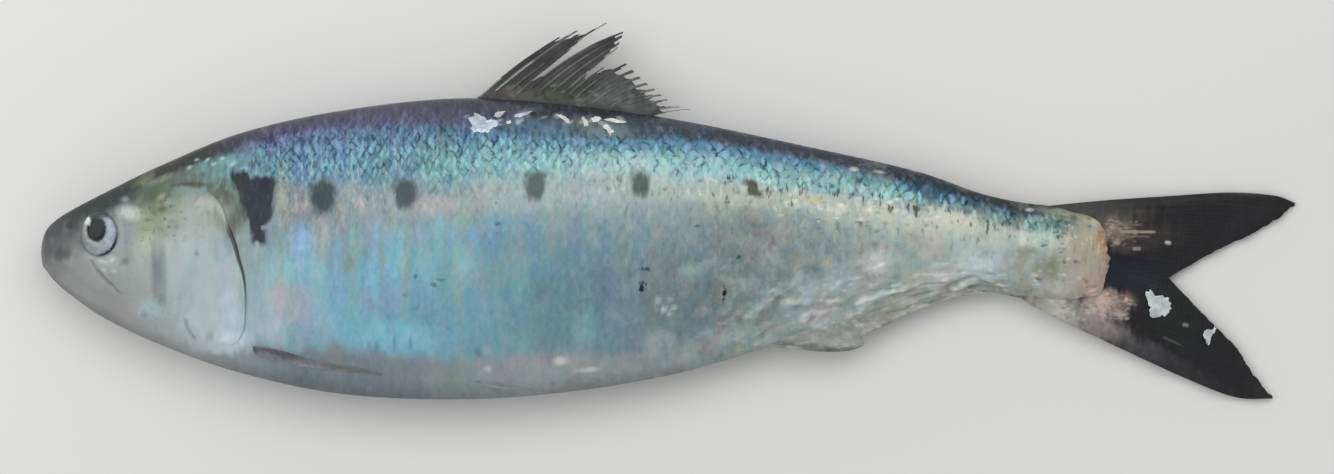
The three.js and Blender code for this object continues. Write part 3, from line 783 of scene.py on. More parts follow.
def foldOf(at, height):  # wet wrinkles: -1 in a hollow to 1 on a crest, and how strongly they show
    zone = zoneOf(at, height)
    up = height - bellyAt(at)
    drift = 1.3 * mottle(at * 0.5, height * 0.8, 41)
    lump = 0.72 * mottle(at * 0.62 + drift, up * 1.05 + drift, 42)
    lump += 0.28 * mottle(at * 1.7, up * 2.4 + drift, 43)
    wrinkle = 0.65 * mottle(at * 0.55 + drift, up * 2.2 + drift, 45)
    wrinkle += 0.35 * mottle(at * 1.3, up * 4.5 + drift, 46)
    rearward = easeStep(63, 68, at)
    shape = lump + (wrinkle - lump) * rearward
    lower = easeStep(4.2, 5.1, zone) * easeStep(5.97, 5.75, zone)
    along = easeStep(48, 60, at) * easeStep(80, 76, at)
    patchy = easeStep(0.2, 0.55, mottle(at * 0.32, height * 0.5, 44))
    return np.clip(4.5 * (shape - 0.5), -1, 1), np.clip(lower * along * patchy, 0, 1)


def spotFields(at, height):  # how far out a point lies from the nearest spot and the blotch, 1 at their edges
    spot, squareness = np.full(len(at), 9.0), skin["spotSquareness"]
    for a, h, halfLength, halfHeight, taper in spots:
        up = (height - h) / halfHeight
        across = (at - a) / (halfLength * (1 + taper * np.clip(up, -1.2, 1.2)))
        away = (np.abs(across) ** squareness + np.abs(up) ** squareness) ** (1 / squareness)
        spot = np.minimum(spot, away)
    patch = 1 - insideOutline(at, height, roundedOutline(blotch)) + 0.12 * easeStep(2.8, 1.0, height)
    for a, h, halfLength, halfHeight, strength in blotchGaps:
        patch += strength * np.exp(-(((at - a) / halfLength) ** 2) - ((height - h) / halfHeight) ** 2)
    return spot, patch


def scaleFields(at, height, arc):  # scales counted along the fish, rows counted around it, how well they show
    scalesFrom, scalesTo, fade = skin["scalesFrom"], skin["scalesTo"], skin["scalesFade"]
    scaled = easeStep(scalesFrom, scalesFrom + fade, at) * easeStep(scalesTo, scalesTo - fade, at)
    stripAt, stripHeight, stripLength, stripDepth = skin["smoothStrip"]
    strip = np.hypot((at - stripAt) / stripLength, (height - stripHeight) / stripDepth)
    scaled *= 1 - 0.85 * easeStep(1.3, 0.6, strip)
    (frontLength, rearLength), (frontStep, rearStep) = skin["scaleLengths"], skin["rowSteps"]
    stations = np.linspace(0, 100, 401)
    growth = easeStep(*skin["scalesGrow"], stations)
    perPercent = pct / mm / (frontLength + (rearLength - frontLength) * growth)
    counted = np.concatenate([[0], np.cumsum((perPercent[1:] + perPercent[:-1]) / 2 * np.diff(stations))])
    rowStep = (frontStep + (rearStep - frontStep) * easeStep(*skin["scalesGrow"], at)) * mm
    return np.interp(at, stations, counted), arc / rowStep, scaled


def paintSkin(at, height, extra):  # patches, marks, and the wrinkles' painted light, shade and wet highlights
    paint = paintPatches([*patches, *strewn(skinMarks, 7), *extra], at, height)
    fold, folded = foldOf(at, height)
    # where painted wet highlights lie on the crests, more of them further back
    gleam = easeStep(0.5, 0.8, mottle(at * 1.9, height * 4.2, 47)) * (0.55 + 0.45 * easeStep(60, 68, at))
    covers = {
        "crest": 0.6 * folded * easeStep(0.0, 0.8, fold),
        "hollow": 0.45 * folded * easeStep(0.0, -0.9, fold),
        "wet": 0.85 * folded * easeStep(0.35, 0.9, fold) * gleam,
    }
    for name, cover in covers.items():
        layPaint(paint, cover, skin["foldColours"][name])
    return paint


def skinFields(at, height, arc, shade, extra=()):
    # what the skin's material reads; arc is the distance around the body from its widest line
    return {
        "flank": np.stack([at, height, zoneOf(at, height)], axis=1),
        "scaleMap": np.stack(scaleFields(at, height, arc), axis=1),
        "marks": np.stack([*spotFields(at, height), shade], axis=1),
        "paint": paintSkin(at, height, extra),
    }


def headGrooves(at, height):  # metres by which the head's grooves sink, and how strong their painted shade is
    sunk, shade = np.zeros(len(at)), np.zeros(len(at))
    for points, halfWidth, depth, dark in grooves:
        cut = easeStep(halfWidth * 1.5, halfWidth * 0.3, lineDistance(at, height, smoothLine(points)))
        sunk += depth * mm * cut
        shade = np.maximum(shade, dark * cut)
    return sunk, shade


def headRelief(at, height):  # metres by which the head's skin rises, and how strong its painted shade is
    sunk, shade = headGrooves(at, height)
    lift = -sunk
    for outline, softness, rise in bones:
        lift += rise * mm * easeStep(-softness, softness, insideOutline(at, height, roundedOutline(outline)))
    ring = np.hypot((at - eye["at"]) / eye["halfLength"], (height - eye["height"]) / eye["halfHeight"])
    lift -= eye["socket"] * easeStep(1.0, 0.82, ring)
    # a faint painted shade rings the eye's socket
    return lift, np.maximum(shade, 0.2 * easeStep(1.06, 0.98, ring))


def normalsAndArcs(mesh, turn):  # square to the sheet, and metres around the body from its widest line
    normal = np.cross(np.gradient(mesh, axis=1), np.gradient(mesh, axis=0))
    normal /= np.maximum(np.linalg.norm(normal, axis=2, keepdims=True), 1e-12)
    arcs = np.cumsum(np.linalg.norm(np.diff(mesh, axis=0, prepend=mesh[:1]), axis=2), axis=0)
    lateral, top = np.argmin(np.abs(turn)), np.argmin(np.abs(turn - math.pi / 2))
    arc = arcs - arcs[lateral]
    arc = np.where(np.arange(len(turn))[:, None] <= top, arc, 2 * arc[top] - arc)
    return normal.reshape(-1, 3), arc.reshape(-1)


def placeSkin(u, v):
    shown = skin["shownShare"]
    turn = np.where(v < shown, v / shown * math.pi - math.pi / 2,
                    math.pi / 2 + (v - shown) / (1 - shown) * math.pi)
    side = np.where(v < shown, 1, -1)
    rise = np.sin(turn)
    fray = 0.75 * mottle(rise * 8 + 20, turn * 0, 11) + 0.25 * mottle(rise * 15 + 40, turn * 0, 12) - 0.5
    reach = smoothCurve(skin["endLine"], rise) + skin["raggedEnd"] * fray - bodyForm["end"]
    end = bodyForm["end"] + reach * np.maximum(0, u - 0.9) * 10
    at = end * (0.0003 + 0.9997 * u) ** skin["crowding"]
    back, belly = backAt(at), bellyAt(at)
    widest = belly + bodyForm["widestShare"] * (back - belly)
    height = widest + rise * np.where(rise >= 0, back - widest, widest - belly)
    closing = np.sqrt(1 - np.clip((u - 1 + skin["endLip"]) / skin["endLip"], 0, 1) ** 2)
    level = np.where(np.abs(rise) > 0.99999, 0, side * widthAt(at) * flankShare(rise) * closing)
    point = inFrame(at, height, level)
    rows, columns = skin["around"] + 1, skin["along"] + 1
    normal, arc = normalsAndArcs(point.reshape(rows, columns, 3), turn.reshape(rows, columns)[:, 0])

    headLift, shade = headRelief(at, height)
    fields = skinFields(at, height, arc, shade)
    scaleU, scaleV, scaled = fields["scaleMap"].T
    scaleStep = (scalePhase(scaleU, scaleV) - 0.5) * easeStep(*skin["scalesGrow"], at)
    fold, folded = foldOf(at, height)
    lift = headLift + skin["scaleRelief"] * scaled * scaleStep + skin["foldDepth"] * fold * folded
    point = point + normal * lift[:, None]
    point[:, 2] = np.maximum(point[:, 2], 0.0)
    return point, fields


zoneEdges = {"blue": (0.7, 1.25), "bright": (1.5, 2.4), "pale": (2.6, 3.3), "flank": (3.6, 4.4),
             "belly": (4.9, 5.35)}  # the zones where each colour begins and where it is full
skinNoises = {  # mm across, detail, roughness, how much height counts where it is drawn out, and its origin
    "streak": (1.7, 3.0, 0.48, 0.24, (0, 0, 0)),  # streaks 7 mm tall
    "drift": (3.0, 2.0, 0.5, 0.24, (31.0, 17.0, 5.0)),  # turns the hue from streak to streak
    "dash": (0.62, 1.0, 0.5, 0.4, (0, 0, 0)),  # fine dashes between the scales
    "tick": (0.8, 2.0, 0.5, 0.36, (0, 0, 0)),  # short ticks in the pale band, 2.3 mm tall
    "cloud": (6.0, 3.0, 0.55, None, None),  # soft patches
    "pool": (5.0, 3.0, 0.5, None, None),  # turns the hue further back
    "grain": (0.9, 2.0, 0.6, None, None),
    "sway": (2.2, 1.0, 0.5, None, None),  # bends the rows of scales
    "fleck": (2.6, 6.0, 0.68, None, None),  # scales that are missing or lifted
    "speck": (0.75, 3.0, 0.6, None, None),  # speckle of the cheeks and the nape
}
skinRamps = {  # what it is read by, then places and values: percent behind the snout, zone, or level
    "pearlHue": ("drift", [(0.3, "#a9a8c6"), (0.4, "#84aedb"), (0.48, "#78b4cb"), (0.55, "#7dbcb4"),
                           (0.63, "#92a99a"), (0.7, "#a3a592")]),
    "pearlZone": ("zone", [(0.5, 0.1), (1.5, 0.3), (2.5, 0.3), (3.3, 0.14), (4.2, 0.23), (5.2, 0.1)]),
    "front": ("at", [(9, 0.0), (18, 1.0), (43, 0.9), (52, 0.4), (62, 0.2)]),
    "poolHue": ("pool", [(0.36, "#a39a9f"), (0.45, "#8fa599"), (0.52, "#809da6"), (0.6, "#97a391"),
                         (0.68, "#a29d97")]),
    "poolZone": ("zone", [(3.2, 0.1), (4.0, 1.0)]),
    "poolAlong": ("at", [(45, 0.0), (54, 0.5), (79, 0.35), (82, 0.05)]),
    "edgeShade": ("outline", [(0, 0.38), (0.35, 0.7), (0.9, 0.98), (1.3, 1.0)]),
    "keelAlong": ("at", [(50, 1.0), (57, 0.1)]),
    "scaleZone": ("zone", [(0.3, 0.1), (0.8, 0.55), (1.2, 0.95), (2.0, 1.0), (2.6, 0.75), (2.95, 0.25),
                           (4.0, 0.08), (5.0, 0.04)]),
    "scaleAlong": ("at", [(16, 0.45), (26, 0.6), (40, 1.0)]),
    # dome and glow: where a scale's painted highlight is strongest, and its colours; glow also tints the pale
    # dashes
    "dome": ("phase", [(0.3, 0.0), (0.52, 1.0), (0.66, 1.0), (0.9, 0.0)]),
    "glow": ("zone", [(0.8, "#7f86b4"), (1.3, "#8fb4e0"), (1.8, "#94d6ea"), (2.5, "#a8e2dc"),
                      (3.1, "#dadfd0"), (4.5, "#b5d3dc")]),
    "ink": ("at", [(18, "#4f6f92"), (30, "#4a7690"), (44, "#3f6c80"), (54, "#335c86"), (64, "#37606a"),
                   (72, "#2c5274"), (80, "#4a6a66")]),
    "dashZone": ("zone", [(0.2, 0.25), (0.9, 0.6), (2.2, 0.6), (2.9, 0.25), (3.5, 0.0)]),
    "tickZone": ("zone", [(1.6, 0.0), (2.2, 0.3), (2.8, 1.0), (3.4, 0.9), (4.0, 0.3), (4.8, 0.12)]),
    "tickAlong": ("at", [(16, 0.1), (20, 0.4), (30, 0.4), (36, 0.25), (44, 0.6), (55, 1.0), (80, 1.0)]),
    "fleckZone": ("zone", [(3.0, 0.3), (4.0, 0.45), (4.7, 0.7), (5.6, 0.8), (6, 0.5)]),
    "fleckAlong": ("at", [(20, 0.0), (36, 0.08), (48, 0.25), (58, 0.6), (79, 0.7), (82, 0.15)]),
    "dotAlong": ("at", [(26, 0.0), (36, 0.5)]),
    "speckAlong": ("at", [(0, 0.15), (4, 0.15), (7, 0.4), (8.5, 0.8), (10.5, 0.8), (12, 0.25), (15, 0.1),
                          (18, 0.0), (77, 0.0), (80, 0.5), (84, 0.8)]),
    "spotInk": ("at", [(22, "#2e3d46"), (30, "#3d4b4d"), (39, "#4c5e5a"), (48, "#45554e"), (56, "#454b3d")]),
    "blotchInk": ("at", [(15.9, "#262b25"), (17.0, "#141c2a")]),
}
boldness = {  # how boldly each thing shows is the product of two of them
    "pearl": ("pearlZone", "front"),
    "pool": ("poolZone", "poolAlong"),
    "scale": ("scaleZone", "scaled"),
    "dash": ("dashZone", "front"),
    "tick": ("tickZone", "tickAlong"),
    "fleck": ("fleckZone", "fleckAlong"),
    "dot": ("dotAlong", "picked"),
    "speck": ("speckAlong", "high"),
}
skinLayers = [  # noise, the levels where it begins and where it is full, strength, tint, blend
    ("dash", 0.52, 0.68, 1.0, "ink", "MULTIPLY"),
    ("dash", 0.46, 0.32, 0.7, "glow", "MIX"),
    ("tick", 0.58, 0.68, 1.0, "#7f766e", "MULTIPLY"),
    ("tick", 0.46, 0.34, 0.65, "#d6d8cc", "MIX"),
    ("fleck", 0.48, 0.7, 1.0, "#ced3d0", "MIX"),  # silver blotches, mostly low on the rear half
    ("fleck", 0.48, 0.32, 1.0, "#a3a9aa", "MULTIPLY"),
    ("dot", 0.085, 0.05, 1.0, "#4a5654", "MIX"),  # small specks of dirt and pigment, 0.5 mm across
    ("speck", 0.56, 0.68, 1.0, "#5d6758", "MIX"),
    ("speck", 0.47, 0.3, 1.0, "#c3cbc6", "SOFT_LIGHT"),
]


def skinNoise(tree, at, height):  # every noise of the skin, and whether a cell has a speck of dirt
    place = addNode(tree, "TexCoord", out=3)
    noise = {}
    for name, (across, detail, roughness, tallness, origin) in skinNoises.items():
        where, scale = place, 1 / (across * mm)
        if tallness:
            tall = addNode(tree, "Math", {0: height, 1: tallness}, operation="MULTIPLY")
            where = addNode(tree, "CombineXYZ", {0: at, 1: tall})
            where = addNode(tree, "VectorMath", {0: where, 1: origin}, operation="ADD")
            scale = pct / (across * mm)
        noise[name] = addNode(tree, "TexNoise", {"Vector": where, "Scale": scale, "Detail": detail,
                                                 "Roughness": roughness})
    cell = addNode(tree, "TexVoronoi", {"Vector": place, "Scale": 1 / (4.5 * mm)}).node
    noise["dot"] = cell.outputs["Distance"]
    picked = addNode(tree, "SeparateColor", {0: cell.outputs["Color"]})
    return noise, addNode(tree, "Math", {0: picked, 1: 0.62}, operation="GREATER_THAN")


def scaleRows(tree, scaleU, scaleV, sway):  # how far back a point lies on its scale, and that scale's number
    sway = addNode(tree, "MapRange", {0: sway, 1: 0.25, 2: 0.75, 3: -0.35, 4: 0.35})
    phases, numbers = [], []
    for shift in (0.0, 1.0):
        row = addNode(tree, "Math", {0: scaleV, 1: shift}, operation="ADD")
        across = addNode(tree, "Math", {0: row, 1: 2.0}, operation="FLOORED_MODULO")
        across = addNode(tree, "Math", {0: across, 1: 1.0}, operation="SUBTRACT")
        arch = addNode(tree, "Math", {0: across, 1: across}, operation="MULTIPLY")
        reach = addNode(tree, "Math", {0: arch, 1: 0.5, 2: 0.5 * shift}, operation="MULTIPLY_ADD")
        for further in (scaleU, sway):
            reach = addNode(tree, "Math", {0: reach, 1: further}, operation="ADD")
        phases.append(addNode(tree, "Math", {0: reach}, operation="FRACT"))
        column = addNode(tree, "Math", {0: reach}, operation="FLOOR")
        pair = addNode(tree, "Math", {0: row, 1: 0.5}, operation="MULTIPLY")
        pair = addNode(tree, "Math", {0: pair}, operation="FLOOR")
        number = addNode(tree, "CombineXYZ", {0: column, 1: pair, 2: 7.0 * shift})
        numbers.append(addNode(tree, "TexWhiteNoise", {"Vector": number}))
    phase = addNode(tree, "Math", {0: phases[0], 1: phases[1]}, operation="MAXIMUM")
    upper = addNode(tree, "Math", {0: phases[1], 1: phases[0]}, operation="GREATER_THAN")
    return phase, addNode(tree, "Mix", {0: upper, 2: numbers[0], 3: numbers[1]})


def pearlSheen(tree, colour, noise, parts, bold):
    # mother-of-pearl: the hue drifts from streak to streak in front, and from pool to pool further back
    for name in ("pearl", "pool"):
        colour = addNode(tree, "Mix", {0: bold[name], 6: colour, 7: parts[name + "Hue"]}, out=2,
                         data_type="RGBA", blend_type="COLOR")
    hue = addNode(tree, "MapRange", {0: noise["cloud"], **noiseSpan, 3: 0.488, 4: 0.514})
    deep = addNode(tree, "MapRange", {0: noise["grain"], **noiseSpan, 3: 0.92, 4: 1.14})
    colour = addNode(tree, "HueSaturation", {"Hue": hue, "Saturation": deep, "Color": colour})
    colour = varyTone(tree, colour, noise["streak"], -0.06, 0.09, parts["front"])
    colour = varyTone(tree, colour, noise["cloud"], -0.08, 0.1)
    return varyTone(tree, colour, noise["dash"], -0.05, 0.05, parts["front"])


def markScales(tree, colour, noise, parts, bold, phase, own):
    # each scale has its own painted highlight, and a free edge that pigment darkens in short soft strokes
    bright = addNode(tree, "MapRange", {0: own, 1: 0.25, 2: 1.0, 4: 0.8})
    for share in (bold["scale"], parts["scaleAlong"], parts["dome"]):
        bright = addNode(tree, "Math", {0: bright, 1: share}, operation="MULTIPLY")
    colour = addNode(tree, "Mix", {0: bright, 6: colour, 7: parts["glow"]}, out=2, data_type="RGBA")
    gaps = addNode(tree, "MapRange", {0: noise["grain"], 1: 0.4, 2: 0.6, 3: 0.15},
                   interpolation_type="SMOOTHSTEP")
    mixed = addNode(tree, "Math", {0: own, 1: 7.31}, operation="MULTIPLY")
    mixed = addNode(tree, "Math", {0: mixed}, operation="FRACT")
    mixed = addNode(tree, "MapRange", {0: mixed, 1: 0.1, 2: 0.7, 3: 0.1})
    rim = bold["scale"]
    for share in (gaps, mixed):
        rim = addNode(tree, "Math", {0: rim, 1: share}, operation="MULTIPLY")
    colour = layOver(tree, colour, phase, 0.5, 0.95, parts["ink"], rim, blend="MULTIPLY")
    for name, begins, full, strength, tint, blend in skinLayers:
        tint = parts.get(tint, tint)
        colour = layOver(tree, colour, noise[name], begins, full, tint, bold[name], strength, blend)
    return colour


def markPigment(tree, colour, noise, parts, at, height, spot, patch):
    # the spots and the shoulder blotch are pigment under the scales, with ragged edges; the scabs lie on top
    ragged = addNode(tree, "Math", {0: noise["streak"], 1: noise["tick"]}, operation="ADD")
    ragged = addNode(tree, "Math", {0: ragged, 1: 0.9, 2: -0.9}, operation="MULTIPLY_ADD")
    thin = addNode(tree, "MapRange", {0: noise["dash"], 1: 0.3, 2: 0.45, 3: 0.93})
    for distance, begins, full, ink in ((spot, 1.3, 0.62, "spotInk"), (patch, 1.24, 0.72, "blotchInk")):
        edge = addNode(tree, "Math", {0: distance, 1: ragged}, operation="ADD")
        colour = layOver(tree, colour, edge, begins, full, parts[ink], thin, 0.96)
    torn = addNode(tree, "MapRange", {0: noise["speck"], **noiseSpan, 3: -0.7, 4: 0.9})
    here = addNode(tree, "CombineXYZ", {0: at, 1: height})
    for a, h, halfLength, halfHeight, strength in scabs:
        away = addNode(tree, "VectorMath", {0: here, 1: (a, h, 0)}, operation="SUBTRACT")
        away = addNode(tree, "VectorMath", {0: away, 1: (halfLength, halfHeight, 1)}, operation="DIVIDE")
        away = addNode(tree, "VectorMath", {0: away}, out=1, operation="LENGTH")
        away = addNode(tree, "Math", {0: away, 1: torn}, operation="ADD")
        cover = addNode(tree, "MapRange", {0: away, 1: 1.3, 2: 0.6, 4: strength})
        colour = addNode(tree, "Mix", {0: cover, 6: colour, 7: skin["scabColour"]}, out=2, data_type="RGBA")
    return colour


def skinPaint(tree):  # the skin's colour, relief and grain, from its zones down to single scales
    fields = []
    for name in ("flank", "scaleMap", "marks"):
        vector = addNode(tree, "Attribute", out=1, attribute_name=name)
        fields += addNode(tree, "SeparateXYZ", {0: vector}).node.outputs
    at, height, zone, scaleU, scaleV, scaled, spot, patch, shade = fields
    noise, picked = skinNoise(tree, at, height)
    phase, own = scaleRows(tree, scaleU, scaleV, noise["sway"])
    high = addNode(tree, "MapRange", {0: height, 1: -1.0, 2: 2.5, 3: 0.25})

    # the zones' edges wander with the streaks and patches
    wander = addNode(tree, "Math", {0: noise["streak"], 1: noise["cloud"]}, operation="ADD")
    wander = addNode(tree, "Math", {0: wander, 1: 0.7, 2: -0.7}, operation="MULTIPLY_ADD")
    loose = addNode(tree, "Math", {0: zone, 1: wander}, operation="ADD")
    readers = {"at": (at, bodyForm["end"]), "zone": (loose, 6.0), "outline": (zone, 6.0),
               "phase": (phase, 1.0), "drift": (noise["drift"], 1.0), "pool": (noise["pool"], 1.0)}
    shares = {name: addNode(tree, "Math", {0: value, 1: whole}, operation="DIVIDE")
              for name, (value, whole) in readers.items()}
    parts = {"scaled": scaled, "picked": picked, "high": high}
    bands = {name: ("at", stops) for name, stops in zoneColours.items()}
    for name, (source, stops) in {**skinRamps, **bands}.items():
        stops = [(position / readers[source][1], value) for position, value in stops]
        parts[name] = addNode(tree, "ValToRGB", {0: shares[source]}, stops=stops)
    bold = {name: addNode(tree, "Math", {0: parts[first], 1: parts[second]}, operation="MULTIPLY")
            for name, (first, second) in boldness.items()}

    colour = parts["back"]
    for name, (begins, full) in zoneEdges.items():
        colour = layOver(tree, colour, loose, begins, full, parts[name])
    painted = addNode(tree, "Attribute", attribute_name="paint").node
    colour = addNode(tree, "Mix", {0: painted.outputs["Alpha"], 6: colour, 7: painted.outputs["Color"]},
                     out=2, data_type="RGBA")
    colour = pearlSheen(tree, colour, noise, parts, bold)
    # painted shade: darker towards the back's edge, and along the keel in front
    keelShade = addNode(tree, "MapRange", {0: zone, 1: 5.6, 2: 6.0, 3: 1.0, 4: 0.62})
    for cover, dark in ((1.0, parts["edgeShade"]), (parts["keelAlong"], keelShade)):
        colour = addNode(tree, "Mix", {0: cover, 6: colour, 7: dark}, out=2, data_type="RGBA",
                         blend_type="MULTIPLY")
    colour = markScales(tree, colour, noise, parts, bold, phase, own)
    colour = markPigment(tree, colour, noise, parts, at, height, spot, patch)
    # painted shade in the grooves, the gill slit and the eye's socket
    colour = addNode(tree, "Mix", {0: shade, 6: colour, 7: skin["grooveShadeColour"]}, out=2, data_type="RGBA")

    # the relief: the scales, the lifted flecks and the grain
    relief = addNode(tree, "Math", {0: phase, 1: scaled}, operation="MULTIPLY")
    lifted = addNode(tree, "Math", {0: noise["fleck"], 1: bold["fleck"]}, operation="MULTIPLY")
    for part, much in ((lifted, 2.0), (noise["grain"], 0.5)):
        relief = addNode(tree, "Math", {0: part, 1: much, 2: relief}, operation="MULTIPLY_ADD")
    return colour, relief, noise["grain"]


def skinMaterial():
    # Raw skin of a silvery sea fish, wet: pearly guanine under clear scales, with dark pigment along the back
    # its colour also holds painted shade and painted highlights, noted where each is laid
    material, tree = newMaterial("wet silver fish skin")
    colour, relief, grain = skinPaint(tree)
    bump = addNode(tree, "Bump", {"Height": relief, "Strength": 0.5, "Distance": 0.04 * mm})
    rough = addNode(tree, "MapRange", {0: grain, **noiseSpan, 3: 0.28, 4: 0.46})
    slime = addNode(tree, "BsdfPrincipled", {
        "Base Color": colour, "Roughness": rough, "Metallic": 0.1, "Normal": bump,
        "Coat Weight": 0.1, "Coat Roughness": 0.12, "Specular IOR Level": 0.22,
    })
    addNode(tree, "OutputMaterial", {"Surface": slime})
    return material


def makeSkin():
    piece = addGrid("skin", skin["along"], skin["around"], placeSkin)
    bpy.ops.object.mode_set(mode="EDIT")
    bpy.ops.mesh.select_all(action="SELECT")
    bpy.ops.mesh.remove_doubles(threshold=1e-6)
    bpy.ops.mesh.fill_holes(sides=0)
    bpy.ops.mesh.normals_make_consistent(inside=False)
    bpy.ops.object.mode_set(mode="OBJECT")
    bpy.ops.object.shade_smooth()
    finishPiece(piece, wetSkin, "fish")


wetSkin = skinMaterial()
makeSkin()
print("skin laid")

# Gill covers: thin bony plates, free along their rear edges

gillCover = {
    "thickness": 0.6 * mm,
    "step": 0.4 * mm,  # how far the free edge stands off the shoulder
    "level": 0.005 * mm,
    "bury": 0.25 * mm,  # how deep the front edge lies under the skin
    "tuck": 0.25 * mm,  # how far the free edge itself bends in
    "slit": 0.066,  # greatest width of the slit's painted shade, as a share of the plate's
    "across": 90,
    "down": 150,
    "front": [(11.8, 4.8), (10.4, 3.2), (9.6, 0.8), (9.5, -2.0), (9.9, -4.75), (11.4, -7.3), (13.6, -8.1)],
    "rear": [(11.8, 4.8), (12.9, 4.9), (13.7, 4.7), (14.3, 4.15), (14.7, 3.6), (15.02, 2.85), (15.27, 2.15),
             (15.87, 0.65), (16.2, -0.65), (16.47, -1.6), (16.6, -2.5), (16.64, -3.8), (16.55, -5.2),
             (16.35, -6.3), (15.5, -7.4), (13.6, -8.1)],
    "patches": [
        (12.7, 3.9, 1.8, 0.7, -8, "#b6b9ac", 0.9),
        (14.75, 3.0, 1.2, 0.35, -63, "#b0b6ac", 0.85),
        (13.3, 1.6, 1.3, 1.2, 0, "#a3a5a1", 0.6),
        (12.5, -1.2, 0.9, 1.0, 0, "#a3b6b2", 0.6),
        (15.0, -2.4, 1.2, 1.7, 0, "#b8bcc5", 0.9),
        # painted highlight low on the plate
        (15.3, -4.9, 1.2, 1.9, 0, "#c3d0da", 0.95),
        (12.7, -4.0, 1.2, 1.6, 0, "#b4c3c3", 0.5),
    ],
}


def slitShade(across, height):  # painted shade of the slit under the free edge, widest near its upper end
    width = gillCover["slit"] * np.interp(height, [-6.6, -2.4, 1.4, 2.1, 2.8], [0.2, 0.5, 1.0, 0.8, 0.3])
    dark = np.interp(height, [-6.8, -5.5, -3.6, -2.2, 1.4, 2.9], [0, 0.4, 0.5, 0.85, 0.9, 0])
    return dark * easeStep(0.006, -0.006, 1 - width - across)


def liftPlate(u, v):  # metres that a plate stands above the skin, from its front edge to its free edge
    cover = easeStep(0, 0.45, u) * easeStep(0, 0.22, v) * easeStep(1, 0.8, v)
    bury = gillCover["bury"] * easeStep(1.0, 0.0, cover)
    raised = gillCover["level"] + gillCover["step"] * easeStep(0.45, 1.0, u) * easeStep(0.3, 1.0, cover)
    return raised * easeStep(1.0, 0.97, u) - bury - gillCover["tuck"] * easeStep(0.97, 1.0, u)


def makeGillCovers():
    def place(u, v, side):
        eased = np.sin(u * math.pi / 2)
        front, rear = alongLine(gillCover["front"], v), alongLine(gillCover["rear"], v)
        at, height = front + (rear - front) * eased
        point = ontoFlank(at, height, liftPlate(eased, v), side)
        point[:, 2] = np.maximum(point[:, 2], clearance)
        arc = (height - bellyAt(at) * 0.45 - backAt(at) * 0.55) * pct
        _, shade = headGrooves(at, height)
        # painted shade of the slit, on the rim that curls under the free edge
        shade = np.maximum(shade, slitShade(eased, height))
        return point, skinFields(at, height, arc, shade, gillCover["patches"])

    for suffix, side in (("left", 1), ("right", -1)):
        piece = addGrid(f"gill_cover_{suffix}", gillCover["across"], gillCover["down"],
                        lambda u, v: place(u, v, side))
        closeSheet(piece, side > 0, gillCover["thickness"])
        finishPiece(piece, wetSkin, "fish")


makeGillCovers()
print("gill covers on")

# Eyes

iris = {
    "pupilAt": 4.6,
    "pupilHeight": 1.7,
    "pupilHalfLength": 0.78,
    "pupilHalfHeight": 1.0,
    "pupilRise": 0.05,  # percent by which the lens pushes the clear front outwards
    # glint is the colour of a painted highlight on the iris
    "colours": {"pupil": "#0e1113", "ring": "#a9aeac", "front": "#838987", "rear": "#abb0bf",
                "low": "#999da4", "rim": "#262c40", "lid": "#3f4748", "glint": "#e3e7e5", "edge": "#6b706f"},
    "glintAt": (-0.63, 0.62),  # where the painted highlight sits, across the eye, 1 at its rim
}


